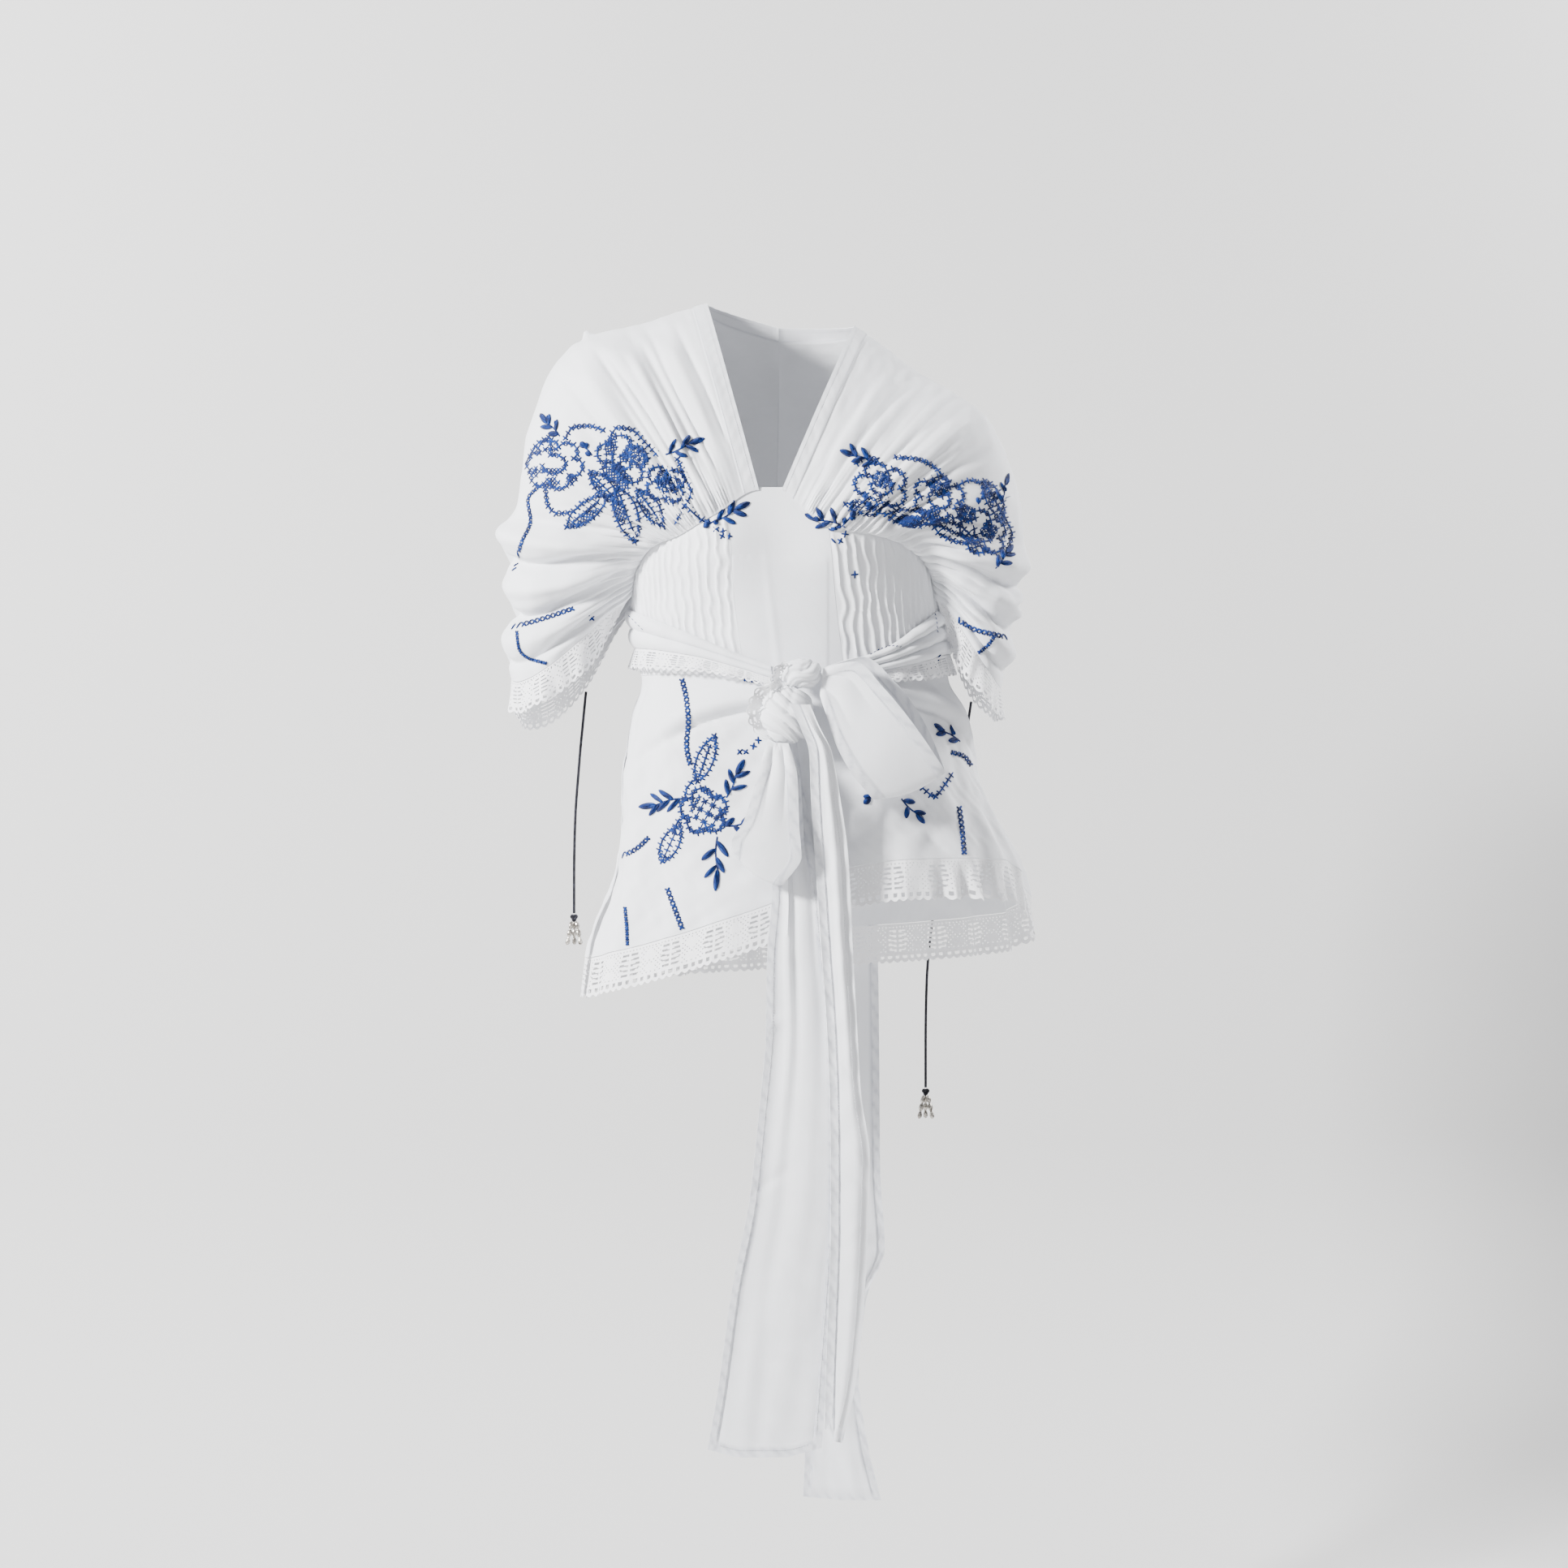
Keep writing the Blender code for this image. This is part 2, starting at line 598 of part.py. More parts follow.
def sleeve_lace(name, ribs, folds, mat, collection):
    """Lace strip below a sleeve hem; it narrows towards the armpit in front."""
    points = cape_points(ribs, folds, 26, 15, 11)
    edge = points[-1]
    across = np.linspace(0.0, 2.0, len(edge))
    run = np.gradient(edge, axis=0)
    run = run / np.linalg.norm(run, axis=-1, keepdims=True)
    down = points[-1] - points[-2]
    fall = down - run * np.sum(down * run, axis=-1, keepdims=True)
    fall = fall / np.linalg.norm(fall, axis=-1, keepdims=True)
    fall[:, 0] *= np.where(fall[:, 0] * ribs[-1][1] < 0, SLEEVE_LACE_INWARD, 1.0)
    fall[:, 2] -= SLEEVE_LACE_DROP
    fall = fall / np.linalg.norm(fall, axis=-1, keepdims=True)
    depth = SLEEVE_LACE_DEPTH * (0.3 + 0.7 * fade(across, 0.0, 0.4))
    depth = depth * (0.4 + 0.6 * fade(2.0 - across, 0.0, 0.2))
    near_body = 1 - fade(np.minimum(across, 2.0 - across), 0.0, 0.35)
    aside = np.zeros((len(edge), 3))
    aside[:, 0] = np.sign(ribs[-1][1]) * 0.7
    aside[:, 1] = np.where(across < 1.0, -0.7, 0.7)
    side = np.sign(ribs[-1][1])
    middle = np.array([ribs[-1][2] * ARM_CENTRE_SHARE, 0.0, 0.0])
    outward = edge - middle
    outward[:, 2] = 0.0
    outward = outward / np.linalg.norm(outward, axis=-1, keepdims=True)
    wave = np.sin(across * 2 * math.pi * SLEEVE_WAVES) * SLEEVE_WAVE_HEIGHT * fade(across, 0.2, 0.5)
    strip = []
    for share in (0.0, 0.34, 0.67, 1.0):
        drop = (LACE_SEAM_GAP + depth * share)[:, None]
        out = (wave + SLEEVE_LACE_STAND_OUT) * share * (1 - near_body)
        clear = near_body * SLEEVE_LACE_CLEARANCE * share
        strip.append(edge + fall * drop + outward * out[:, None] + aside * clear[:, None])
    strip = np.array(strip)
    if side < 0:
        strip = strip[:, ::-1]
    return add_sheet(name, strip, LACE_WALL, mat, collection)


def peplum_rise(angle, share, z):
    rise = np.zeros(np.broadcast(angle, z).shape)
    turned = (angle + 90.0) % 360.0 - 90.0
    for centre, width, height, start in FLARES:
        rise = rise + height * fade(share, start, 1.0) * np.exp(-(((turned - centre) / width) ** 2))
    line = read(SWAG, 1, turned)
    height = read(SWAG, 2, turned) * (turned < -1.9)
    half = read(SWAG, 3, turned)
    return rise + height * np.exp(-(((z - line) / half) ** 2))


def peplum_points(start, end, columns, rows):
    angle = np.linspace(start, end, columns)
    share = np.linspace(0.0, 1.0, rows)
    low = hem_z(angle)
    top = WAIST_SEAM_Z - SEAM_GAP / 2
    z = top + (low[None, :] - top) * share[:, None]
    wide = np.broadcast_to(angle, z.shape)
    rise = peplum_rise(wide, share[:, None], z)
    return figure_point(wide, z, rise), angle


def peplum_panel(name, panel_grid, mat, collection):
    points, _ = peplum_points(*panel_grid)
    return add_sheet(name, points, CLOTH_WALL, mat, collection)


def hem_lace(name, panel_grid, columns, waves, height, mat, collection):
    """Lace strip below the hem, ruffled in even waves that grow towards its edge."""
    panel, panel_angle = peplum_points(*panel_grid)
    angle = np.linspace(panel_angle[0], panel_angle[-1], columns)
    edge = np.stack([np.interp(angle, panel_angle, panel[-1][:, k]) for k in range(3)], axis=-1)
    share = np.linspace(0.0, 1.0, 4)
    turn = np.radians(angle)
    outward = np.stack((np.sin(turn), -np.cos(turn), np.zeros(columns)), axis=-1)
    along = np.linspace(0.0, 1.0, columns)
    wave = np.sin(along * waves * 2 * math.pi) * height
    strip = []
    for part in share:
        drop = LACE_SEAM_GAP + HEM_LACE_DEPTH * part
        out = ((wave + HEM_LACE_STAND_OUT) * part)[:, None]
        strip.append(edge + outward * out - np.array([0.0, 0.0, drop]))
    return add_sheet(name, np.array(strip), LACE_WALL, mat, collection)


def wrap_points(table, columns, folds, samples):
    """Grid of a folded wrap: rows across its width, with a rounded roll for each fold."""
    low = min(table[0][0], table[-1][0])
    high = max(table[0][0], table[-1][0])
    angle = np.linspace(low, high, columns)
    share = np.linspace(0.0, 1.0, folds * samples + 1)
    top = read(table, 1, angle)
    bottom = read(table, 2, angle)
    puff = read(table, 3, angle)
    lift = read(table, 4, angle)
    z = top[None, :] + (bottom - top)[None, :] * share[:, None]
    roll = np.abs(np.sin(share * folds * math.pi)) ** 0.8
    out = CLOTH_WALL + LAYER_GAP + lift[None, :] + puff[None, :] * roll[:, None]
    out = out + TUCK_HEIGHT
    wide = np.broadcast_to(angle, z.shape)
    return figure_point(wide, z, out), angle


def wrap(name, table, columns, folds, mat, collection):
    points, _ = wrap_points(table, columns, folds, 3)
    return add_sheet(name, points, CLOTH_WALL, mat, collection)


def wrap_lace(name, table, columns, folds, mat, collection):
    """Lace along the lower edge of a wrap, standing out a little at its free edge."""
    points, angle = wrap_points(table, columns, folds, 3)
    edge = points[-1]
    turn = np.radians(angle)
    outward = np.stack((np.sin(turn), -np.cos(turn), np.zeros(columns)), axis=-1)
    ends = np.abs(angle - table[-1][0]) / abs(table[-1][0] - table[0][0])
    depth = WRAP_LACE_DEPTH * (0.45 + 0.55 * fade(ends, 0.0, 0.5))
    strip = []
    for part in (0.0, 0.5, 1.0):
        drop = np.zeros((columns, 3))
        drop[:, 2] = SEAM_GAP + (LACE_WALL + CLOTH_WALL) / 4 + depth * part
        strip.append(edge - drop + outward * (WRAP_LACE_LIFT + WRAP_LACE_STAND_OUT * part))
    return add_sheet(name, np.array(strip), LACE_WALL, mat, collection)


def bow_loop(name, table, around, across, mat, collection):
    """A ribbon that leaves the knot in front, folds at its end and comes back behind."""
    turn = np.linspace(0.0, 2 * math.pi, around)
    out = (1 - np.cos(turn)) / 2
    left = np.stack((read(table, 1, out), read(table, 2, out)), axis=-1)
    right = np.stack((read(table, 3, out), read(table, 4, out)), axis=-1)
    middle = read(table, 5, out)
    opening = read(table, 6, out)
    swing = np.sin(turn)
    near_knot = np.abs(turn - math.pi) > LOOP_PINCH_TURN
    swing[near_knot] = np.where(turn[near_knot] < math.pi, LOOP_PINCH, -LOOP_PINCH)
    share = np.linspace(0.0, 1.0, across)
    crown = np.sin(share * math.pi) * LOOP_CROWN
    flat = left[:, None, :] + (right - left)[:, None, :] * share[None, :, None]
    y = middle[:, None] - swing[:, None] * (opening[:, None] + crown[None, :] * out[:, None])
    points = np.stack((flat[..., 0], y, flat[..., 1]), axis=-1)
    return add_sheet(name, points, CLOTH_WALL, mat, collection)


def tail(name, table, rows, columns, facing, mat, collection):
    """A hanging end of the sash, softly waved across its width."""
    z_values = column(table, 0)
    z = np.linspace(z_values[0], z_values[-1], rows)
    left = read(table, 1, z)
    right = read(table, 2, z)
    middle = read(table, 3, z)
    depth = read(table, 4, z)
    share = np.linspace(0.0, 1.0, columns)
    x = left[:, None] + (right - left)[:, None] * share[None, :]
    wave = np.sin(share * TAIL_WAVES * 2 * math.pi + TAIL_WAVE_START)
    y = middle[:, None] + depth[:, None] * wave[None, :]
    points = np.stack(np.broadcast_arrays(x, y, z[:, None]), axis=-1)
    if facing > 0:
        points = points[:, ::-1]
    return add_sheet(name, points, CLOTH_WALL, mat, collection)


def sash_knot(name, sizes, mat, collection):
    """A pulled knot: a rounded lump with the grooves of the cloth that winds round it."""
    x, y, z, half_x, half_y, half_z, turns = sizes
    mesh = bpy.data.meshes.new(name)
    cage = bmesh.new()
    bmesh.ops.create_uvsphere(cage, u_segments=16, v_segments=10, radius=1.0)
    for vertex in cage.verts:
        spot = vertex.co
        around = math.atan2(spot.y, spot.x)
        groove = 1.0 + KNOT_GROOVE * math.sin(turns * math.pi * spot.z + around)
        ring = math.hypot(spot.x, spot.y)
        if ring < 1e-6:
            groove = 1.0
        vertex.co = (spot.x * half_x * groove * MM, spot.y * half_y * groove * MM, spot.z * half_z * MM)
    cage.to_mesh(mesh)
    cage.free()
    mesh.shade_smooth()
    item = bpy.data.objects.new(name, mesh)
    item.location = (x * MM, y * MM, z * MM)
    item.data.materials.append(mat)
    collection.objects.link(item)
    return item


def cord_route(table, spacing):
    """Evenly spaced points of a smooth curve through a cord's route."""
    knots = np.array(table)
    legs = np.linalg.norm(np.diff(knots, axis=0), axis=1)
    at = np.concatenate(([0.0], np.cumsum(legs)))
    count = max(2, int(round(at[-1] / spacing)))
    place = np.linspace(0.0, at[-1], count + 1)
    return np.stack([smooth(at, knots[:, k], place) for k in range(3)], axis=-1)


def cord(name, table, mat, collection):
    points = cord_route(table, CORD_DIAMETER * 3.0)
    curve = bpy.data.curves.new(name, "CURVE")
    curve.dimensions = "3D"
    curve.bevel_depth = CORD_DIAMETER / 2 * MM
    curve.bevel_resolution = 2
    curve.use_fill_caps = True
    spline = curve.splines.new("POLY")
    spline.points.add(len(points) - 1)
    for spot, point in zip(points, spline.points):
        point.co = (*(spot * MM), 1.0)
    item = bpy.data.objects.new(name, curve)
    item.data.materials.append(mat)
    collection.objects.link(item)
    return item


def cord_knot(name, table, mat, collection):
    """The overhand knot that holds the charms, just below the end of a cord."""
    end = table[-1]
    bpy.ops.mesh.primitive_uv_sphere_add(segments=10, ring_count=7, radius=CORD_KNOT_RADIUS * MM)
    item = bpy.context.object
    item.name = name
    item.data.name = name
    drop = SEAM_GAP + CORD_KNOT_RADIUS
    item.location = (end[0] * MM, end[1] * MM, (end[2] - drop) * MM)
    item.data.shade_smooth()
    item.data.materials.append(mat)
    move_to(item, collection)
    return item


def charm(name, table, slot, mat, collection):
    """A turned metal drop that hangs below a cord's knot, leaning out from its neighbours."""
    end = table[-1]
    points = [(radius * MM, 0.0, -share * CHARM_HEIGHT * MM) for share, radius in CHARM_PROFILE]
    points[0] = (0.0, 0.0, points[0][2])
    points[-1] = (0.0, 0.0, points[-1][2])
    edges = [(i, i + 1) for i in range(len(points) - 1)]
    mesh = bpy.data.meshes.new(name)
    mesh.from_pydata(points, edges, [])
    item = bpy.data.objects.new(name, mesh)
    item.data.materials.append(mat)
    collection.objects.link(item)
    turn = item.modifiers.new("turned", "SCREW")
    turn.angle = 2 * math.pi
    turn.steps = 6
    turn.render_steps = 6
    turn.use_merge_vertices = True
    turn.merge_threshold = 0.00001
    bearing = math.radians(90 + 120 * slot)
    lean = math.radians(CHARM_LEAN)
    item.location = (
        (end[0] + CHARM_OFFSET * math.cos(bearing)) * MM,
        (end[1] + CHARM_OFFSET * math.sin(bearing)) * MM,
        (end[2] - CHARM_DROP) * MM,
    )
    item.rotation_euler = (lean * math.sin(bearing), -lean * math.cos(bearing), 0.0)
    return item


def move_to(item, collection):
    for owner in list(item.users_collection):
        owner.objects.unlink(item)
    collection.objects.link(item)


def build():
    for item in list(bpy.data.objects):
        bpy.data.objects.remove(item)
    blouse = bpy.data.collections.new("blouse")
    bpy.context.scene.collection.children.link(blouse)

    linen = material("white linen", (0.86, 0.87, 0.90), 0.8)
    lawn = material("tucked white lawn", (0.88, 0.88, 0.91), 0.78)
    lace = material("white cotton lace", (0.90, 0.90, 0.92), 0.85)
    black = material("black cord", (0.012, 0.012, 0.016), 0.55)
    metal = material("dark silver", (0.42, 0.40, 0.37), 0.38, 1.0)

    cape("cape_right", RIGHT_RIBS, RIGHT_FOLDS, linen, blouse)
    cape("cape_left", LEFT_RIBS, LEFT_FOLDS, linen, blouse)
    sleeve_lace("sleeve_lace_right", RIGHT_RIBS, RIGHT_FOLDS, lace, blouse)
    sleeve_lace("sleeve_lace_left", LEFT_RIBS, LEFT_FOLDS, lace, blouse)

    tuck_columns = 4 * TUCK_COUNT + 1
    bodice_panel("bodice_centre", -CENTRE_PANEL_EDGE, CENTRE_PANEL_EDGE, 9, 5, False, linen, blouse)
    bodice_panel("bodice_side_right", -SIDE_SEAM, -SIDE_PANEL_EDGE, tuck_columns, 5, True, lawn, blouse)
    bodice_panel("bodice_side_left", SIDE_PANEL_EDGE, SIDE_SEAM, tuck_columns, 5, True, lawn, blouse)
    bodice_panel("bodice_back", BACK_START, BACK_END, 21, 5, False, linen, blouse)

    front_grid = (-SIDE_SEAM, SIDE_SEAM, 37, 8)
    back_grid = (BACK_START, BACK_END, 34, 8)
    peplum_panel("peplum_front", front_grid, linen, blouse)
    peplum_panel("peplum_back", back_grid, linen, blouse)
    hem_lace("hem_lace_front", front_grid, 46, 9.0, 2.2, lace, blouse)
    hem_lace("hem_lace_back", back_grid, 55, 11.0, 7.0, lace, blouse)

    wrap("wrap_right", RIGHT_WRAP, 19, 2, linen, blouse)
    wrap("wrap_left", LEFT_WRAP, 17, 3, linen, blouse)
    wrap("wrap_back", BACK_WRAP, 21, 2, linen, blouse)
    wrap_lace("wrap_lace_right", RIGHT_WRAP, 19, 2, lace, blouse)
    wrap_lace("wrap_lace_left", LEFT_WRAP, 17, 3, lace, blouse)
    wrap_lace("wrap_lace_back", BACK_WRAP, 21, 2, lace, blouse)

    sash_knot("knot_lower", LOWER_KNOT, linen, blouse)
    sash_knot("knot_upper", UPPER_KNOT, linen, blouse)
    bow_loop("bow_loop_left", WEARERS_LEFT_LOOP, 21, 6, linen, blouse)
    bow_loop("bow_loop_right", WEARERS_RIGHT_LOOP, 21, 6, linen, blouse)
    tail("tail_wide", WIDE_TAIL, 14, 7, -1, linen, blouse)
    tail("tail_narrow", NARROW_TAIL, 16, 5, -1, linen, blouse)
    tail("tail_back", BACK_TAIL, 13, 6, 1, linen, blouse)

    for side, table in (("right", RIGHT_CORD), ("left", LEFT_CORD)):
        cord(f"cord_{side}", table, black, blouse)
        cord_knot(f"cord_knot_{side}", table, black, blouse)
        for slot in range(3):
            charm(f"charm_{side}_{slot + 1}", table, slot, metal, blouse)


build()
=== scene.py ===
import math
import random

import bmesh
import bpy
import numpy as np
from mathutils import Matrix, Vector
from mathutils.bvhtree import BVHTree


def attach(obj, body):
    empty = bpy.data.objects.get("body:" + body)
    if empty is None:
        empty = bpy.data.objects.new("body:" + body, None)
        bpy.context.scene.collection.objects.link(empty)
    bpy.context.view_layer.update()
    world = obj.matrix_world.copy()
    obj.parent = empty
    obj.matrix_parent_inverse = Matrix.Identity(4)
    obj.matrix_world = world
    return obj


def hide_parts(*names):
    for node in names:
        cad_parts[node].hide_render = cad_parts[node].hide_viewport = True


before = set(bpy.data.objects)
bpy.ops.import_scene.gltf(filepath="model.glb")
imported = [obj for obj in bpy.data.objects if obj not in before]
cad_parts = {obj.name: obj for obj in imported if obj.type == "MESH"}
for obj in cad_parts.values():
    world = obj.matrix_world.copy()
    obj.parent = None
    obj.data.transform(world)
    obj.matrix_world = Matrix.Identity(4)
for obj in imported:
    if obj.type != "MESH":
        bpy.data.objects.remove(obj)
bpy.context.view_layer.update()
bpy.ops.object.select_all(action="DESELECT")
mm = 0.001
dice = random.Random(11)
print("frame loaded")

# the general figure that fills the blouse, in mm: z, centre x, half width, front depth, back depth
figure = {
    "sections": (
        (20.0, -2.0, 66.0, 42.0, 60.0),
        (-60.0, -2.0, 110.0, 84.0, 88.0),
        (-120.0, -3.0, 138.0, 102.0, 100.0),
        (-180.0, -4.0, 150.0, 111.0, 103.0),
        (-235.0, 0.0, 158.0, 113.0, 101.0),
        (-290.0, 4.0, 161.0, 108.0, 95.0),
        (-340.0, 10.0, 160.0, 103.0, 90.0),
        (-375.0, 15.0, 160.0, 101.0, 90.0),
        (-411.0, 19.0, 174.0, 104.0, 97.0),
        (-470.0, 20.0, 184.0, 107.0, 112.0),
        (-532.0, 31.0, 196.0, 110.0, 124.0),
        (-586.0, 39.0, 210.0, 112.0, 130.0),
        (-640.0, 32.0, 221.0, 114.0, 134.0),
        (-720.0, 14.0, 226.0, 116.0, 136.0),
    ),
    "power": 2.4,
    "cupX": 72.0,
    "cupZ": -232.0,
    "cupReachX": 46.0,
    "cupReachZ": 50.0,
    "cupRise": 13.0,
}

# top edge of the bodice all round: angle from the front, z
bodiceTopTable = (
    (-180.0, -186.0), (-160.0, -206.0), (-136.0, -240.0), (-120.0, -268.0), (-106.0, -291.0),
    (-98.0, -295.0), (-90.0, -296.0), (-84.0, -294.0), (-78.0, -288.0), (-69.0, -262.0),
    (-61.0, -247.0), (-53.0, -237.0), (-46.0, -232.0), (-39.0, -228.0), (-27.0, -214.0),
    (-19.0, -203.0), (-4.5, -180.5), (1.0, -180.5), (6.0, -196.0), (11.0, -211.0),
    (16.0, -221.0), (33.0, -226.0), (43.0, -231.0), (53.0, -238.0), (62.0, -247.0),
    (70.0, -260.0), (78.0, -286.0), (84.0, -294.0), (90.0, -296.0), (98.0, -295.0),
    (106.0, -291.0), (120.0, -268.0), (136.0, -240.0), (160.0, -206.0), (180.0, -186.0),
)

# cloth edge of the hem all round: angle, z
hemTable = (
    (-180.0, -640.0), (-140.0, -650.0), (-110.0, -662.0), (-88.0, -667.0), (-62.0, -659.0),
    (-36.6, -642.0), (-22.0, -626.0), (-8.0, -605.0), (7.0, -570.0), (24.0, -562.0),
    (42.0, -561.0), (70.0, -564.0), (88.0, -588.0), (110.0, -616.0), (140.0, -628.0),
    (180.0, -640.0),
)

linenWall = 1.0
laceWall = 0.55
waistZ = -372.0


def column(table, index):
    return np.array([row[index] for row in table], dtype=float)


def smoothCurve(xs, ys, at):
    at = np.clip(np.asarray(at, dtype=float), xs[0], xs[-1])
    step = np.diff(xs)
    rise = np.diff(ys) / step
    slope = np.zeros(len(xs))
    slope[0] = rise[0]
    slope[-1] = rise[-1]
    for i in range(1, len(xs) - 1):
        if rise[i - 1] * rise[i] > 0:
            before = 2 * step[i] + step[i - 1]
            after = step[i] + 2 * step[i - 1]
            slope[i] = (before + after) / (before / rise[i - 1] + after / rise[i])
    k = np.clip(np.searchsorted(xs, at, side="right") - 1, 0, len(xs) - 2)
    t = (at - xs[k]) / step[k]
    start = ys[k] * (1 + 2 * t) * (1 - t) ** 2 + slope[k] * step[k] * t * (1 - t) ** 2
    end = ys[k + 1] * t**2 * (3 - 2 * t) + slope[k + 1] * step[k] * t**2 * (t - 1)
    return start + end


def read(table, index, at):
    xs = column(table, 0)
    ys = column(table, index)
    if xs[0] > xs[-1]:
        xs = xs[::-1]
        ys = ys[::-1]
    return smoothCurve(xs, ys, at)


def fade(value, low, high):
    t = np.clip((np.asarray(value, dtype=float) - low) / (high - low), 0.0, 1.0)
    return t * t * (3 - 2 * t)


def ripple(u, v, reach, seed):
    # soft uneven waves, about -1 to 1, with bumps near reach across
    rng = np.random.RandomState(seed)
    total = 0.0
    for _ in range(7):
        turn = rng.uniform(0, math.pi)
        size = 2 * math.pi / (reach * rng.uniform(1.4, 3.2))
        total = total + np.sin((u * math.cos(turn) + v * math.sin(turn)) * size + rng.uniform(0, 6.28))
    return total / 3.6


def figurePoint(angle, z, out=0.0):
    turn = np.radians(angle)
    centre = read(figure["sections"], 1, z)
    half = read(figure["sections"], 2, z)
    front = read(figure["sections"], 3, z)
    back = read(figure["sections"], 4, z)
    depth = np.where(np.cos(turn) >= 0, front, back)
    power = 2.0 / figure["power"]
    across = np.sign(np.sin(turn)) * np.abs(np.sin(turn)) ** power
    along = np.sign(np.cos(turn)) * np.abs(np.cos(turn)) ** power
    x = centre + (half + out) * across
    y = -(depth + out) * along
    rise = 0.0
    for side in (-1, 1):
        nearX = ((x - centre - side * figure["cupX"]) / figure["cupReachX"]) ** 2
        nearZ = ((z - figure["cupZ"]) / figure["cupReachZ"]) ** 2
        rise = rise + figure["cupRise"] * np.exp(-nearX - nearZ)
    y = y - rise * np.clip(along, 0.0, 1.0)
    return np.stack(np.broadcast_arrays(x, y, z), axis=-1)


def runLengths(points, axis=0):
    # the length run so far along a line, or along each line of a grid
    legs = np.linalg.norm(np.diff(points, axis=axis), axis=-1)
    start = np.zeros_like(np.take(legs, [0], axis=axis))
    return np.concatenate((start, np.cumsum(legs, axis=axis)), axis=axis)


def evenSpots(points, pitch, least):
    # spots at an even pitch down a line
    line = np.array(points, dtype=float)
    at = runLengths(line)
    place = np.linspace(0.0, at[-1], max(least, int(round(at[-1] / pitch))) + 1)
    return np.stack([np.interp(place, at, values) for values in line.T], axis=-1)


def wrapAngle(angle):
    return (np.asarray(angle, dtype=float) + 180.0) % 360.0 - 180.0


def bodiceTop(angle):
    return read(bodiceTopTable, 1, wrapAngle(angle))


def hemZ(angle):
    return read(hemTable, 1, wrapAngle(angle))


def gridNormals(points):
    down = np.gradient(points, axis=0)
    across = np.gradient(points, axis=1)
    normal = np.cross(down, across)
    return normal / np.maximum(np.linalg.norm(normal, axis=-1, keepdims=True), 1e-9)


def gridArea(points):
    a = points[:-1, :-1]
    b = points[1:, :-1]
    c = points[1:, 1:]
    d = points[:-1, 1:]
    cross = np.cross(c - a, d - b)
    return float(np.linalg.norm(cross, axis=-1).sum() / 2)


def clothUv(points):
    # both directions in metres along the cloth, so the weave keeps its size
    across = runLengths(points, 1)
    across = across - across[:, points.shape[1] // 2][:, None]
    return np.stack((across, runLengths(points)), axis=-1) * mm


def newObject(name, vertices, faces, finish, uv=None):
    mesh = bpy.data.meshes.new(name)
    mesh.from_pydata([tuple(v) for v in vertices], [], faces)
    mesh.update()
    if uv is not None:
        layer = mesh.uv_layers.new(name="cloth")
        corner = np.zeros(len(mesh.loops), dtype=np.int32)
        mesh.loops.foreach_get("vertex_index", corner)
        layer.data.foreach_set("uv", uv[corner].astype(np.float32).ravel())
    mesh.shade_smooth()
    item = bpy.data.objects.new(name, mesh)
    mesh.materials.append(finish)
    bpy.context.scene.collection.objects.link(item)
    return item


def selectOnly(item):
    bpy.ops.object.select_all(action="DESELECT")
    item.select_set(True)
    bpy.context.view_layer.objects.active = item


def applyModifiers(item):
    selectOnly(item)
    for modifier in list(item.modifiers):
        bpy.ops.object.modifier_apply(modifier=modifier.name)


def giveWall(item, wall):
    shell = item.modifiers.new("wall", "SOLIDIFY")
    shell.thickness = wall * mm
    shell.offset = 0.0
    applyModifiers(item)


def gridFaces(rows, columns, keep=None):
    faces = []
    for i in range(rows - 1):
        for j in range(columns - 1):
            if keep is not None and not keep[i, j]:
                continue
            a = i * columns + j
            faces.append((a, a + columns, a + columns + 1, a + 1))
    return faces


# the hems' grey: the band a little for the double cloth and partly painted shade, the groove and puckers
# painted shade
hemShadeLook = {"band": 0.14, "groove": 0.65, "grooveReach": 0.8, "pucker": 0.34, "slant": 0.5,
           "long": 0.30, "short": 0.83}


def hemGreyAndShade(nearest, hem, along, across):
    # double cloth a little greyer, with painted shade in the sewn groove and in slanting puckers across the
    # band
    look = hemShadeLook
    inside = 1 - fade(nearest, hem - 0.6, hem + 0.3)
    groove = np.exp(-(((nearest - hem) / look["grooveReach"]) ** 2))
    slant = across * look["slant"]
    pucker = np.sin(along * look["long"] + slant) + 0.5 * np.sin(along * look["short"] + slant)
    pucker = np.clip(pucker, 0.0, 1.2)
    grey = look["band"] * inside + look["groove"] * groove + look["pucker"] * pucker * inside
    return np.clip(grey, 0.0, 1.0)


def enrol(item, nodes=()):
    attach(item, "root")
    if nodes:
        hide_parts(*nodes)
    return item


clothGrids = {}


def addCloth(name, points, finish, nodes, wall=linenWall, keep=None, hems=None):
    rows, columns = points.shape[:2]
    uv = clothUv(points).reshape(-1, 2)
    item = newObject(name, points.reshape(-1, 3) * mm, gridFaces(rows, columns, keep), finish, uv)
    if keep is not None:
        sweepLoose(item)
    # the painted shade of grooves, puckers, sewn lines and gathers goes on the points, with the hems'
    # greyer double cloth
    if hems is not None:
        layer = item.data.attributes.new("hemShade", "FLOAT", "POINT")
        layer.data.foreach_set("value", np.broadcast_to(hems, (rows, columns)).astype(np.float32).ravel())
    giveWall(item, wall)
    bpy.ops.object.shade_smooth_by_angle(angle=math.radians(55.0))
    enrol(item, nodes)
    width = float(runLengths(points, 1)[:, -1].max()) * mm
    length = float(runLengths(points)[-1].max()) * mm
    area = gridArea(points) * mm * mm
    if keep is not None:
        area *= float(np.mean(keep)) * 1.12
    flat = (round(width, 3), round(length, 3))
    area = min(max(area, 0.31 * flat[0] * flat[1]), flat[0] * flat[1])
    clothGrids[name] = points
    return item


def sweepLoose(item):
    cage = bmesh.new()
    cage.from_mesh(item.data)
    loose = [v for v in cage.verts if not v.link_faces]
    bmesh.ops.delete(cage, geom=loose, context="VERTS")
    cage.to_mesh(item.data)
    cage.free()


# finishes


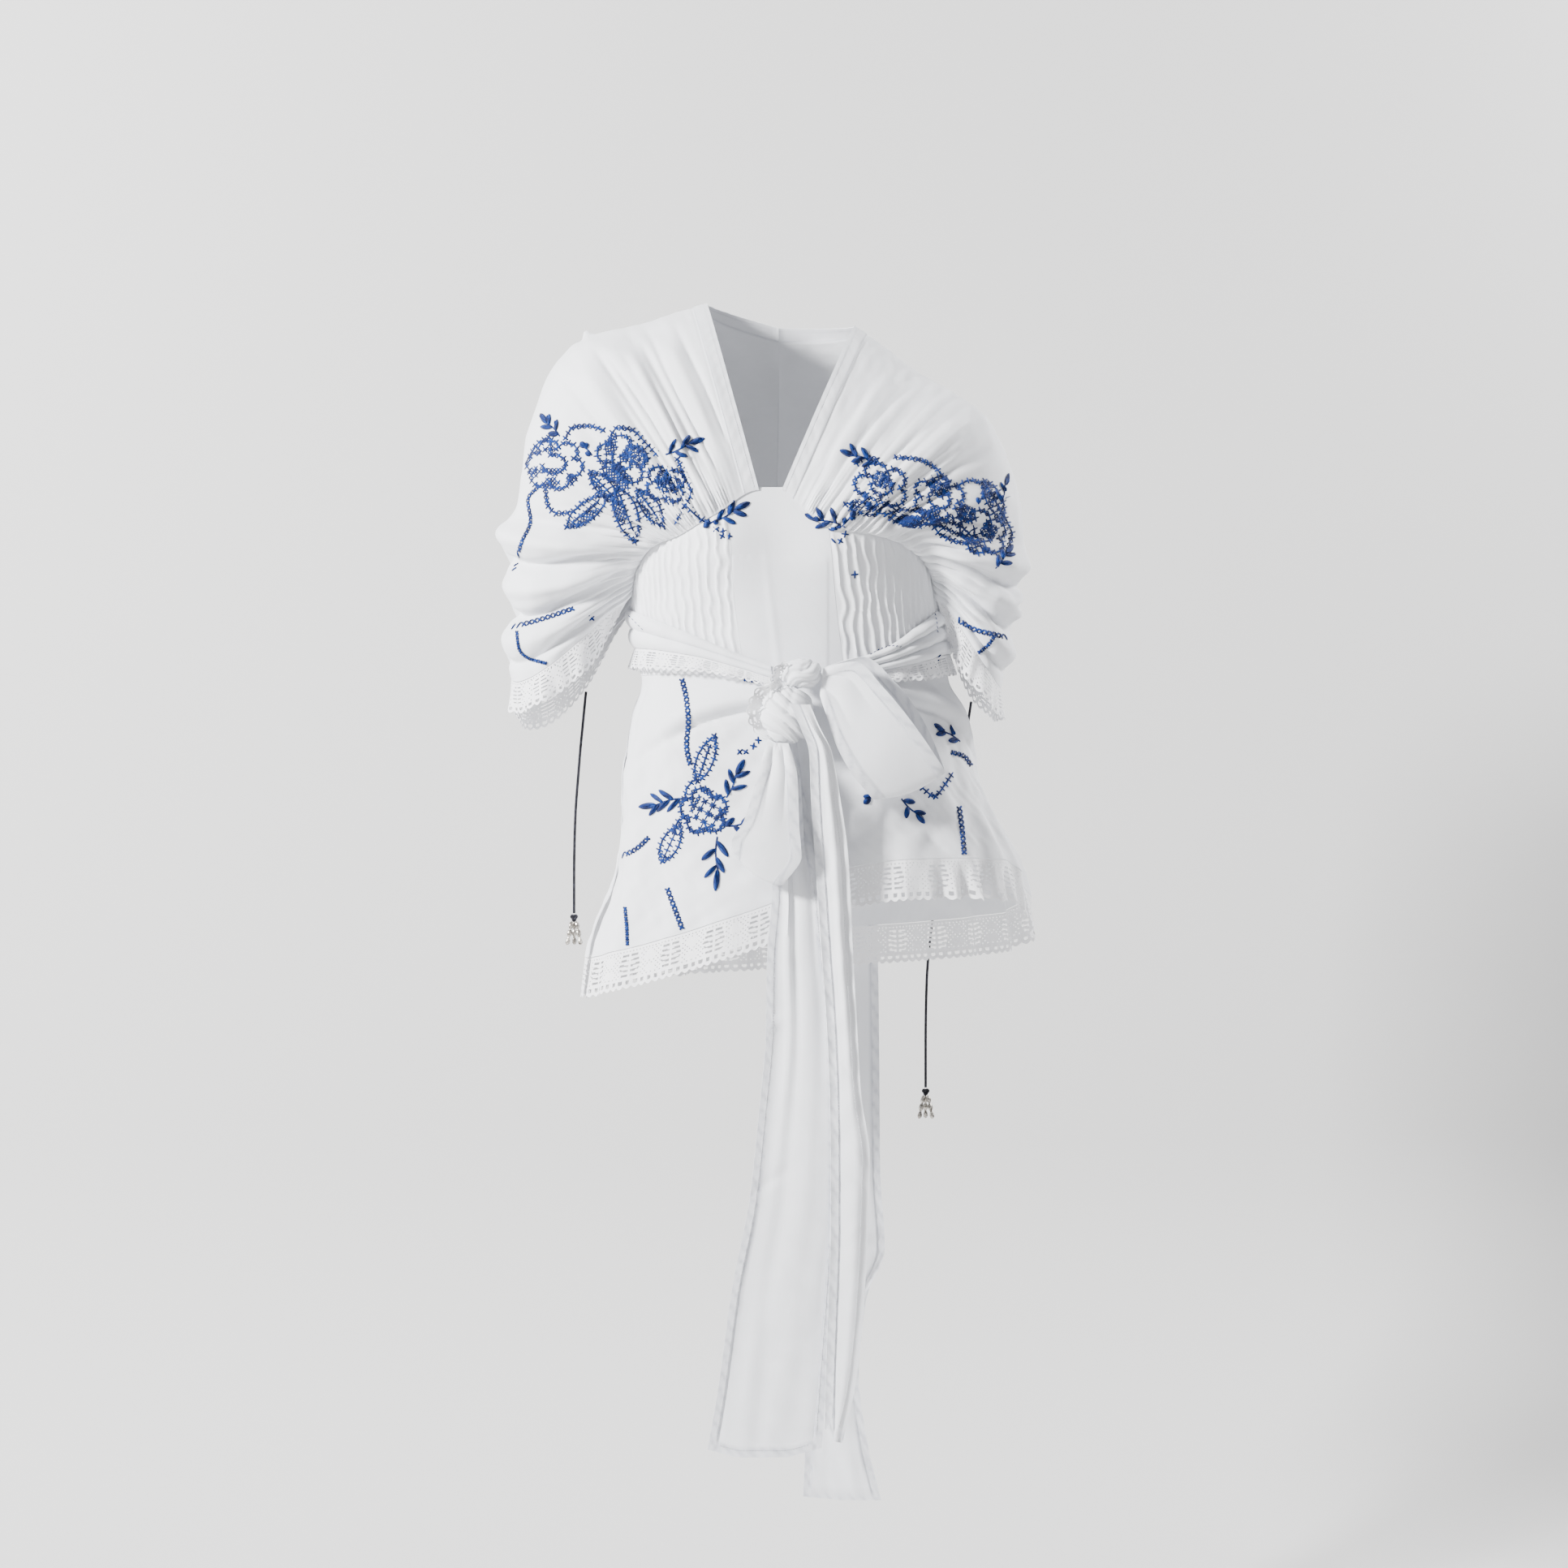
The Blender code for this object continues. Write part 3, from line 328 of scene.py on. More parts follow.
def startFinish(name, colour, roughness, metallic=0.0):
    finish = bpy.data.materials.new(name)
    finish.use_nodes = True
    tree = finish.node_tree
    shader = tree.nodes["Principled BSDF"]
    shader.inputs["Base Color"].default_value = (*colour, 1.0)
    shader.inputs["Roughness"].default_value = roughness
    shader.inputs["Metallic"].default_value = metallic
    return finish, tree, shader


def addNode(tree, kind, values=None, sources=None):
    # values are constants by socket, sources are (node, output) by socket
    node = tree.nodes.new("ShaderNode" + kind)
    for socket, value in (values or {}).items():
        node.inputs[socket].default_value = value
    feed(tree, node, sources or {})
    return node


def feed(tree, node, sources):
    for socket, (source, output) in sources.items():
        tree.links.new(source.outputs[output], node.inputs[socket])


def addRamp(tree, source, low, high, middle=None):
    # source is (node, output); low, high and middle are (place, colour)
    ramp = addNode(tree, "ValToRGB", {}, {"Fac": source})
    stops = ramp.color_ramp.elements
    for stop, (place, colour) in zip(stops, (low, high)):
        stop.position = place
        stop.color = (*colour, 1.0)
    if middle:
        stops.new(middle[0]).color = (*middle[1], 1.0)
    return ramp


def addBump(tree, strength, distance, source, output, before=None):
    bump = addNode(tree, "Bump", {"Strength": strength}, {"Height": (source, output)})
    if distance:
        bump.inputs["Distance"].default_value = distance
    if before:
        feed(tree, bump, {"Normal": (before, "Normal")})
    return bump


def weaveFinish(name, look):
    # plain weave from two crossed bands on the cloth's own map, with slubs and soft patches
    finish, tree, shader = startFinish(name, look["colour"], look["roughness"])
    shader.inputs["Sheen Weight"].default_value = look["sheen"]
    shader.inputs["Sheen Roughness"].default_value = 0.5
    shader.inputs["Specular IOR Level"].default_value = 0.25
    place = addNode(tree, "UVMap")
    place.uv_map = "cloth"
    onCloth = {"Vector": (place, "UV")}
    bands = []
    for direction in ("X", "Y"):
        band = addNode(tree, "TexWave", {
            "Scale": look["threads"], "Distortion": 1.4, "Detail": 1.0, "Detail Scale": 0.35}, onCloth)
        band.wave_type = "BANDS"
        band.bands_direction = direction
        bands.append(band)
    weave = addNode(tree, "Math", {}, {0: (bands[0], "Fac"), 1: (bands[1], "Fac")})
    weave.operation = "ADD"
    stretch = addNode(tree, "Mapping", {"Scale": (1.0, 0.12, 1.0)}, onCloth)
    slub = addNode(tree, "TexNoise", {"Scale": look["slubs"], "Detail": 3.0},
                   {"Vector": (stretch, "Vector")})
    patch = addNode(tree, "TexNoise", {"Scale": 38.0, "Detail": 5.0, "Roughness": 0.6}, onCloth)
    mix = addNode(tree, "Mix")
    mix.data_type = "FLOAT"
    mix.inputs[0].default_value = 0.5
    feed(tree, mix, {2: (slub, "Fac"), 3: (patch, "Fac")})
    shaded = tuple(c * look["shade"] for c in look["colour"])
    tone = addRamp(tree, (mix, 0), (0.32, shaded), (0.68, look["colour"]))
    # painted shade: the hemShade attribute darkens sewn grooves, puckers, sewn lines and gathers, and the
    # double cloth of the hems a little
    hem = addNode(tree, "Attribute")
    hem.attribute_name = "hemShade"
    paintedShadeMix = addNode(tree, "Mix")
    paintedShadeMix.data_type = "RGBA"
    paintedShadeMix.blend_type = "MULTIPLY"
    paintedShadeMix.inputs["B"].default_value = (*look["hemShadeTone"], 1.0)
    feed(tree, paintedShadeMix, {"Factor": (hem, "Fac"), "A": (tone, "Color")})
    fine = addBump(tree, look["weaveDepth"], 0.0003, weave, "Value")
    rumple = addBump(tree, look["rumple"], 0.003, patch, "Fac", fine)
    feed(tree, shader, {"Base Color": (paintedShadeMix, "Result"), "Normal": (rumple, "Normal")})
    return finish


def threadFinish(name, look):
    # twisted cotton: fine slanted ribs and an uneven dye
    finish, tree, shader = startFinish(name, look["colour"], look["roughness"])
    shader.inputs["Sheen Weight"].default_value = 0.06
    shader.inputs["Specular IOR Level"].default_value = 0.2
    onThread = {"Vector": (addNode(tree, "TexCoord"), "Object")}
    ribs = addNode(tree, "TexWave", {"Scale": look["ribs"], "Distortion": 2.0}, onThread)
    ribs.bands_direction = "DIAGONAL"
    dye = addNode(tree, "TexNoise", {"Scale": look["dye"], "Detail": 3.0}, onThread)
    tone = addRamp(tree, (dye, "Fac"), (0.3, look["dark"]), (0.72, look["light"]), (0.5, look["colour"]))
    bump = addBump(tree, look["depth"], 0.0003, ribs, "Fac")
    feed(tree, shader, {"Base Color": (tone, "Color"), "Normal": (bump, "Normal")})
    return finish


def silverFinish():
    finish, tree, shader = startFinish("agedSilver", (0.42, 0.39, 0.34), 0.34, 1.0)
    place = addNode(tree, "TexCoord")
    tarnish = addNode(tree, "TexNoise", {"Scale": 420.0, "Detail": 4.0}, {"Vector": (place, "Object")})
    tone = addRamp(tree, (tarnish, "Fac"), (0.35, (0.09, 0.08, 0.07)), (0.62, (0.55, 0.52, 0.47)))
    feed(tree, shader, {"Base Color": (tone, "Color")})
    return finish


# the grey for painted shade in grooves, puckers, sewn lines and gathers, and a little for double cloth
hemShadeGrey = (0.50, 0.51, 0.56)
linenFinish = weaveFinish("whiteLinen", {
    "colour": (0.83, 0.84, 0.87), "shade": 0.955, "roughness": 0.82, "sheen": 0.12,
    "threads": 520.0, "slubs": 900.0, "weaveDepth": 0.35, "rumple": 0.16, "hemShadeTone": hemShadeGrey,
})
lawnFinish = weaveFinish("whiteLawn", {
    "colour": (0.85, 0.86, 0.89), "shade": 0.97, "roughness": 0.78, "sheen": 0.15,
    "threads": 760.0, "slubs": 1100.0, "weaveDepth": 0.25, "rumple": 0.2, "hemShadeTone": hemShadeGrey,
})
laceFinish = weaveFinish("cottonLace", {
    "colour": (0.88, 0.88, 0.90), "shade": 0.96, "roughness": 0.86, "sheen": 0.2,
    "threads": 300.0, "slubs": 1400.0, "weaveDepth": 0.3, "rumple": 0.12, "hemShadeTone": hemShadeGrey,
})
blueFinish = threadFinish("blueCotton", {
    "colour": (0.002, 0.018, 0.12), "dark": (0.001, 0.007, 0.055), "light": (0.005, 0.045, 0.25),
    "roughness": 0.62, "ribs": 900.0, "dye": 160.0, "depth": 0.6,
})
whiteFinish = threadFinish("whiteSewing", {
    "colour": (0.72, 0.73, 0.76), "dark": (0.6, 0.61, 0.65), "light": (0.8, 0.81, 0.83),
    "roughness": 0.6, "ribs": 1500.0, "dye": 200.0, "depth": 0.5,
})
blackFinish = threadFinish("blackCord", {
    "colour": (0.012, 0.012, 0.018), "dark": (0.005, 0.005, 0.008), "light": (0.03, 0.03, 0.042),
    "roughness": 0.8, "ribs": 700.0, "dye": 300.0, "depth": 0.9,
})
silver = silverFinish()
print("finishes ready")

# capes: place, front seam angle, ridge x, y, z, back angle, back z, sag, puff
rightCape = {
    "side": -1.0,
    "ribs": (
        (0.00, -4.5, -77.0, 16.0, 18.0, -179.9, -2.0, 0.0, 0.0),
        (0.10, -11.0, -110.0, 12.0, 9.0, -179.9, -36.0, 0.0, 3.0),
        (0.22, -19.0, -160.0, 8.0, -7.0, -179.9, -76.0, 0.0, 8.0),
        (0.32, -27.0, -200.0, 4.0, -15.0, -179.9, -116.0, 0.0, 12.0),
        (0.41, -33.0, -240.0, 0.0, -52.0, -179.9, -154.0, 0.0, 14.0),
        (0.47, -36.5, -257.0, -2.0, -94.0, -179.9, -183.5, 0.0, 15.0),
        (0.51, -39.0, -266.0, -3.0, -122.0, -172.0, 0.0, 2.0, 16.0),
        (0.62, -46.0, -274.0, -6.0, -187.0, -160.0, 0.0, 8.0, 18.0),
        (0.70, -53.0, -290.0, -6.0, -223.0, -148.0, 0.0, 12.0, 20.0),
        (0.78, -61.0, -284.0, -6.0, -262.0, -136.0, 0.0, 14.0, 22.0),
        (0.86, -69.0, -281.0, -6.0, -303.0, -126.0, 0.0, 16.0, 24.0),
        (0.93, -73.0, -286.0, -4.0, -342.0, -116.0, 0.0, 17.0, 26.0),
        (1.00, -76.0, -281.0, -2.0, -372.0, -109.0, 0.0, 18.0, 28.0),
    ),
    # folds: place, drift, half width, rise, start, end (0 front seam, 1 ridge, 2 back)
    "folds": (
        (0.13, 0.02, 0.016, 2.2, 0.10, 0.70),
        (0.19, 0.02, 0.011, -3.4, 0.06, 0.75),
        (0.25, 0.00, 0.016, 2.8, 0.08, 0.70),
        (0.31, 0.02, 0.011, -3.8, 0.05, 0.80),
        (0.37, 0.00, 0.016, 3.2, 0.06, 0.75),
        (0.44, 0.00, 0.013, -4.0, 0.04, 0.62),
        (0.52, 0.03, 0.020, 3.5, 0.05, 0.80),
        (0.62, 0.03, 0.015, -5.0, 0.03, 0.90),
        (0.69, 0.01, 0.022, 7.0, 0.06, 1.30),
        (0.745, 0.01, 0.014, -10.0, 0.03, 1.20),
        (0.80, 0.01, 0.022, 7.0, 0.04, 1.35),
        (0.855, 0.01, 0.013, -9.5, 0.03, 1.25),
        (0.91, 0.00, 0.022, 6.0, 0.05, 1.30),
        (0.955, 0.00, 0.012, -5.0, 0.05, 1.20),
        (0.30, 0.05, 0.030, -4.0, 1.20, 1.85),
        (0.48, 0.04, 0.030, 5.0, 1.15, 1.90),
        (0.60, 0.00, 0.022, -6.0, 1.20, 1.95),
        (0.72, -0.02, 0.025, 6.0, 1.30, 1.95),
        (0.84, -0.02, 0.018, -6.0, 1.30, 1.95),
        (0.93, -0.01, 0.022, 5.0, 1.30, 1.95),
    ),
    "creases": (
        (0.085, 0.03, 0.007, -1.2, 0.15, 0.85),
        (0.16, 0.03, 0.006, -1.8, 0.08, 0.90),
        (0.222, 0.01, 0.006, -1.6, 0.05, 0.62),
        (0.282, 0.03, 0.006, -1.9, 0.05, 0.80),
        (0.345, -0.01, 0.006, -1.6, 0.04, 0.60),
        (0.405, 0.01, 0.007, -2.2, 0.03, 0.75),
        (0.475, 0.02, 0.007, -1.6, 0.03, 0.50),
        (0.57, 0.03, 0.008, -2.4, 0.02, 0.70),
        (0.655, -0.02, 0.007, -2.2, 0.02, 0.55),
        (0.72, 0.03, 0.007, -3.0, 0.02, 0.60),
        (0.775, -0.02, 0.007, -2.8, 0.02, 0.80),
        (0.83, 0.02, 0.006, -2.4, 0.02, 0.60),
        (0.885, -0.02, 0.006, -2.4, 0.02, 0.70),
        (0.935, 0.02, 0.006, -1.8, 0.02, 0.60),
    ),
    "seed": 3,
    "roll": 2.4,
    # place, across, reach both ways, rise: a lifted corner on the shoulder
    "bumps": ((0.325, 1.0, 0.009, 0.05, 5.5), (0.342, 1.0, 0.008, 0.06, -3.0)),
}
leftCape = {
    "side": 1.0,
    "ribs": (
        (0.00, 1.0, 77.0, 16.0, -5.0, 179.9, -2.0, 0.0, 0.0),
        (0.12, 6.0, 110.0, 12.0, -28.0, 179.9, -44.0, 0.0, 3.0),
        (0.24, 11.0, 145.0, 8.0, -55.0, 179.9, -84.0, 0.0, 8.0),
        (0.34, 17.0, 182.0, 4.0, -76.0, 179.9, -122.0, 0.0, 12.0),
        (0.43, 25.0, 216.0, 0.0, -102.0, 179.9, -156.0, 0.0, 14.0),
        (0.48, 29.5, 227.0, -2.0, -121.0, 179.9, -183.5, 0.0, 14.5),
        (0.52, 33.0, 236.0, -3.0, -142.0, 172.0, 0.0, 2.0, 15.0),
        (0.61, 43.0, 250.0, -6.0, -193.0, 160.0, 0.0, 4.0, 16.0),
        (0.70, 53.0, 254.0, -6.0, -246.0, 148.0, 0.0, 6.0, 18.0),
        (0.78, 62.0, 247.0, -6.0, -280.0, 136.0, 0.0, 6.0, 20.0),
        (0.86, 70.0, 243.0, -6.0, -312.0, 126.0, 0.0, 6.0, 22.0),
        (0.93, 73.0, 238.0, -4.0, -350.0, 116.0, 0.0, 5.0, 24.0),
        (1.00, 76.0, 230.0, -2.0, -385.0, 109.0, 0.0, 4.0, 26.0),
    ),
    "folds": (
        (0.16, 0.02, 0.022, 1.6, 0.10, 0.75),
        (0.27, 0.02, 0.018, -2.2, 0.10, 0.80),
        (0.38, 0.03, 0.022, 2.4, 0.08, 0.75),
        (0.47, 0.02, 0.015, -3.4, 0.05, 0.80),
        (0.55, 0.04, 0.022, 4.5, 0.04, 0.85),
        (0.63, 0.04, 0.014, -5.4, 0.03, 0.90),
        (0.70, 0.03, 0.024, 7.0, 0.04, 1.25),
        (0.755, 0.03, 0.013, -9.0, 0.03, 1.10),
        (0.81, 0.02, 0.022, 7.0, 0.04, 1.25),
        (0.865, 0.02, 0.013, -8.0, 0.03, 1.15),
        (0.92, 0.01, 0.022, 6.0, 0.05, 1.25),
        (0.962, 0.00, 0.010, -4.0, 0.05, 1.20),
        (0.34, 0.05, 0.030, -4.0, 1.20, 1.85),
        (0.50, 0.04, 0.030, 5.0, 1.15, 1.90),
        (0.62, 0.00, 0.022, -6.0, 1.25, 1.95),
        (0.74, -0.02, 0.025, 6.0, 1.30, 1.95),
        (0.86, -0.02, 0.018, -5.0, 1.30, 1.95),
    ),
    "creases": (
        (0.21, 0.05, 0.008, -1.0, 0.20, 0.85),
        (0.32, 0.04, 0.008, -1.2, 0.15, 0.70),
        (0.42, 0.03, 0.007, -1.6, 0.08, 0.60),
        (0.51, 0.02, 0.007, -2.2, 0.03, 0.50),
        (0.59, 0.05, 0.007, -2.4, 0.02, 0.70),
        (0.665, 0.04, 0.007, -2.6, 0.02, 0.60),
        (0.725, 0.04, 0.007, -3.0, 0.02, 0.75),
        (0.785, 0.03, 0.006, -2.6, 0.02, 0.60),
        (0.84, 0.03, 0.006, -2.6, 0.02, 0.80),
        (0.895, 0.02, 0.006, -2.2, 0.02, 0.60),
        (0.94, 0.01, 0.006, -1.6, 0.02, 0.50),
    ),
    "seed": 8,
    "roll": 4.6,
    # the fold that stands open at the sleeve's outer side
    "bumps": (
        (0.792, 0.95, 0.012, 0.12, 7.0), (0.824, 0.93, 0.008, 0.10, -9.0), (0.852, 0.96, 0.010, 0.10, 5.0),
    ),
}
gatherGap = 1.2
lapDepth = 3.0
backSag = 2.2


def seamPoint(angle):
    before, here, after = (figurePoint(angle + k, bodiceTop(angle + k)) for k in (-0.5, 0.0, 0.5))
    run = after - before
    run = run / np.linalg.norm(run)
    outer = figurePoint(angle, bodiceTop(angle), 1.0) - here
    outer = outer / np.linalg.norm(outer)
    upward = np.cross(outer, run)
    if upward[2] < 0:
        upward = -upward
    return here + outer * (gatherGap + 0.7) - upward * lapDepth


def ribArc(edge, ridge, sag, puff, share, towards):
    turn = share * math.pi / 2
    swell = np.sin(2 * turn)
    x = edge[0] + (ridge[0] - edge[0]) * np.sin(turn)
    z = edge[2] + (ridge[2] - edge[2]) * np.sin(turn) - sag * swell
    y = ridge[1] + (edge[1] - ridge[1]) * np.cos(turn) + towards * puff * swell
    return np.stack((x, y, z), axis=-1)


def capeRib(cape, place, shareFront, shareBack):
    ribs = cape["ribs"]
    side = cape["side"]
    front = seamPoint(float(read(ribs, 1, place)))
    ridge = np.array([float(read(ribs, k, place)) for k in (2, 3, 4)])
    backAngle = float(read(ribs, 5, place))
    sag = float(read(ribs, 7, place))
    puff = float(read(ribs, 8, place))
    centreRows = [row for row in ribs if row[6] != 0.0]
    lastPlace = centreRows[-1][0]
    if place <= lastPlace:
        back = figurePoint(side * 180.0, float(read(centreRows, 6, place)))
    else:
        blend = float(fade(place, lastPlace, 0.51))
        back = seamPoint(backAngle) * blend + figurePoint(side * 180.0, centreRows[-1][6]) * (1 - blend)
    if abs(backAngle) > 179.0:
        back[0] = read(figure["sections"], 1, back[2]) + side * 0.02
    first = ribArc(front, ridge, sag, puff, shareFront, -1.0)
    second = ribArc(back, ridge, sag * backSag, puff, shareBack, 1.0)
    return np.concatenate((first, second[::-1][1:]))


foldDepth = {"seen": 1.25, "hidden": 2.3, "crease": 2.2}


def foldRise(folds, place, across):
    rise = np.zeros(np.broadcast(place, across).shape)
    for centre, drift, width, height, start, end in folds:
        span = (across - start) / (end - start)
        height = height * (foldDepth["hidden"] if start > 1.0 else foldDepth["seen"])
        taper = fade(span, 0.0, 0.3) * (1 - fade(span, 0.7, 1.0))
        rise = rise + height * taper * np.exp(-(((place - centre - drift * span) / width) ** 2))
    return rise


def creaseRise(creases, place, across, seed):
    # narrow valleys that wander a little on their way
    rise = np.zeros(np.broadcast(place, across).shape)
    for k, (centre, drift, width, height, start, end) in enumerate(creases):
        span = (across - start) / (end - start)
        taper = fade(span, 0.0, 0.12) * (1 - fade(span, 0.45, 1.0))
        wander = 0.006 * np.sin(across * 7.0 + seed + k * 1.9)
        reach = width * (1.0 + 1.2 * np.clip(span, 0, 1))
        away = np.abs((place - centre - drift * span - wander) / reach)
        rise = rise + foldDepth["crease"] * height * taper * np.exp(-away ** 1.3)
    return rise


# place and across run 0 to 1 and 0 to 2; the rest is mm
capeLook = {
    # small puckers and medium pleats at the seams: count, reach across, rise
    "puckers": (58.0, 0.085, 3.4), "pleats": (25.0, 0.30, 4.4), "backPleats": 2.2,
    # faint crumples: rise, reach
    "crumples": ((0.9, 26.0), (0.45, 11.0)), "length": 420.0, "girth": 150.0,
    # the roll of cloth over the gathered seam: across, reach
    "roll": (0.055, 0.035),
    # neck hem: depth, rise, groove; two sewn lines in painted shade; the band a little greyer for the
    # double cloth and for painted shade; painted shade in the gathers
    "hemDepth": 16.5, "hemRise": 0.7, "hemGroove": 0.5, "hemPucker": 0.3,
    "sewnLineShade": ((15.0, 0.9, 0.45), (4.0, 0.8, 0.30)), "hemGreyAndShade": 0.10, "gatherShade": 0.9,
    # rows, columns before and behind the ridge; they crowd towards the seams
    "grid": (220, 72, 30), "crowding": 1.15,
}


def capePoints(cape):
    look = capeLook
    rows, frontColumns, backColumns = look["grid"]
    places = np.linspace(0.0, 1.0, rows)
    shareFront = np.linspace(0.0, 1.0, frontColumns) ** look["crowding"]
    shareBack = np.linspace(0.0, 1.0, backColumns) ** look["crowding"]
    points = np.array([capeRib(cape, p, shareFront, shareBack) for p in places])
    across = np.concatenate((shareFront, 2.0 - shareBack[::-1][1:]))
    place = places[:, None]
    flow = across[None, :]
    rise = foldRise(cape["folds"], place, flow) + creaseRise(cape["creases"], place, flow, cape["seed"])
    # small gathers right at the seams
    count, reach, height = look["puckers"]
    phase = place * count + 0.7 * np.sin(place * 31.0) + 0.3 * np.sin(flow * 9.0)
    pucker = np.abs(np.sin(phase * math.pi)) ** 0.7 - 0.5
    gathered = fade(place, 0.10, 0.24)
    belowBack = fade(place, 0.42, 0.55)
    nearFront = np.exp(-np.clip(flow, 0, None) / reach)
    nearBack = np.exp(-np.clip(2.0 - flow, 0, None) / reach) * belowBack
    rise = rise + height * pucker * gathered * (nearFront + nearBack)
    # medium gathers that run out into the panel
    count, reach, height = look["pleats"]
    phase = place * count + 0.8 * np.sin(place * 13.0 + 1.0) + 0.25 * np.sin(flow * 5.0)
    pleat = np.abs(np.sin(phase * math.pi)) ** 0.8 - 0.55
    rise = rise + height * pleat * gathered * np.exp(-np.clip(flow, 0, None) / reach)
    rise = rise + look["backPleats"] * pleat * belowBack * np.exp(-np.clip(2.0 - flow, 0, None) / reach)
    for at, over, reachPlace, reachFlow, height in cape["bumps"]:
        away = ((place - at) / reachPlace) ** 2
        rise = rise + height * np.exp(-away - ((flow - over) / reachFlow) ** 2)
    # faint crumples everywhere
    for k, (height, reach) in enumerate(look["crumples"]):
        rise = rise + height * ripple(place * look["length"], flow * look["girth"], reach, cape["seed"] + k)
    # a soft roll of cloth stands over the gathered seam
    roll = np.exp(-(((flow - look["roll"][0]) / look["roll"][1]) ** 2)) * gathered
    rise = rise + cape["roll"] * roll * (0.75 + 0.35 * np.sin(place * 37.0 + cape["seed"]))
    ends = fade(flow, 0.0, 0.02) * (1 - fade(flow, 1.985, 2.0))
    neckHold = 0.25 + 0.75 * fade(place, 0.0, 0.08)
    # the neck edge is turned in and sewn twice, so it is thicker and a little puckered
    fromNeck = runLengths(points)
    groove = np.exp(-(((fromNeck - look["hemDepth"]) / 1.6) ** 2))
    hem = look["hemRise"] * (1 - fade(fromNeck, 15.0, 17.0)) - look["hemGroove"] * groove
    pucker = look["hemPucker"] * np.sin(flow * 118.0 + fromNeck * 0.35)
    hem = hem + pucker * (1 - fade(fromNeck, 10.0, 16.0))
    points = points + gridNormals(points) * (rise * ends * neckHold + hem * ends)[..., None] * cape["side"]
    # the neck band a little greyer for the double cloth and for painted shade, and painted shade along the
    # two sewn lines
    grey = look["hemGreyAndShade"] * (1 - fade(fromNeck, 14.5, 15.5))
    for distance, reach, strength in look["sewnLineShade"]:
        grey = grey + strength * np.exp(-(((fromNeck - distance) / reach) ** 2))
    # painted shade in the gathers' valleys, darkest where the cloth is pressed together at the seams
    gatherShadeMask = np.clip(-pleat, 0.0, 0.5) * gathered * (np.exp(-np.clip(flow, 0, None) / 0.10) + nearBack)
    grey = np.clip(grey + look["gatherShade"] * gatherShadeMask, 0.0, 1.0)
    if cape["side"] < 0:
        return points[:, ::-1], grey[:, ::-1]
    return points, grey


# bodice


def bodicePoints(start, end, columns, rows):
    angle = np.linspace(start, end, columns)
    share = np.linspace(0.0, 1.0, rows)
    top = bodiceTop(angle)
    z = top[None, :] + (waistZ + 0.15 - top[None, :]) * share[:, None]
    wide = np.broadcast_to(angle, z.shape)
    return wide, z, share[:, None]


tuckLook = {"tucks": 19, "columns": 9, "rows": 46, "rise": 1.8, "width": 0.15, "wander": 0.26, "shake": 0.2,
            "panel": 130.0, "crumple": 0.7}


def tuckedPanel(name, start, end, node, seed):
    look = tuckLook
    wide, z, share = bodicePoints(start, end, look["tucks"] * look["columns"] + 1, look["rows"])
    along = (wide - start) / (end - start)
    across = along * look["panel"]
    wobble = look["wander"] * ripple(across, z, 34.0, seed)
    wobble = wobble + look["shake"] * ripple(across, z, 13.0, seed + 5)
    phase = along * look["tucks"] + wobble
    nearTuck = (phase - np.floor(phase)) - 0.5
    ridge = np.exp(-((nearTuck / look["width"]) ** 2))
    slope = 0.25 * (0.5 - np.abs(nearTuck))
    hold = fade(share, 0.0, 0.10) * (1 - 0.7 * fade(share, 0.85, 1.0))
    edges = fade(along, 0.0, 0.02) * (1 - fade(along, 0.98, 1.0))
    rise = (look["rise"] * ridge + slope) * hold * edges
    rise = rise + look["crumple"] * ripple(across, z, 22.0, seed + 2) * hold * edges
    points = figurePoint(wide, z, rise)
    return addCloth(name, points, lawnFinish, [node])


# the inset's edges are x and z in mm; the angle stops just short of the tucked panels
panelLook = {"angle": 14.85, "grid": 60, "crumple": 0.5, "left": -49.5, "right": 48.5, "low": -252.5,
             "inset": 0.6, "crease": 0.8}


def centrePanel():
    look = panelLook
    wide, z, share = bodicePoints(-look["angle"], look["angle"], look["grid"], look["grid"])
    rise = look["crumple"] * ripple(wide * 3.0, z, 30.0, 21) * fade(share, 0.0, 0.1)
    # the inset rectangle stands a thread's thickness proud of the panel
    x = figurePoint(wide, z)[..., 0]
    inset = fade(x, look["left"] - 1.0, look["left"] + 1.0)
    inset = inset * (1 - fade(x, look["right"] - 1.0, look["right"] + 1.0))
    inset = inset * (1 - fade(z, look["low"] - 1.0, look["low"] + 1.0))
    rise = rise + look["inset"] * inset
    slant = (x + 10 + (z + 300) * 0.12) / 4.0
    rise = rise + look["crease"] * np.exp(-(slant ** 2)) * fade(share, 0.2, 0.7)
    points = figurePoint(wide, z, rise)
    return addCloth("bodicePanel", points, linenFinish, ["bodice_centre"])


# the back's drag folds: angle at the top, at the foot, half width, rise
backDrags = (
    (103.0, 112.0, 3.0, -3.2), (121.0, 115.0, 3.6, 2.6), (139.0, 152.0, 3.0, -3.8),
    (160.0, 150.0, 4.2, 3.0), (174.0, 187.0, 3.2, -3.6), (198.0, 187.0, 3.8, 3.0),
    (212.0, 224.0, 3.0, -4.0), (233.0, 226.0, 3.8, 2.8), (251.0, 242.0, 3.0, -3.4),
)


backLook = {"start": 90.15, "end": 269.85, "crumple": 1.2, "pleats": 0.30, "pleatRise": 2.2,
            "pleatReach": 0.20, "sashTop": 286.0, "sashIn": 302.0}


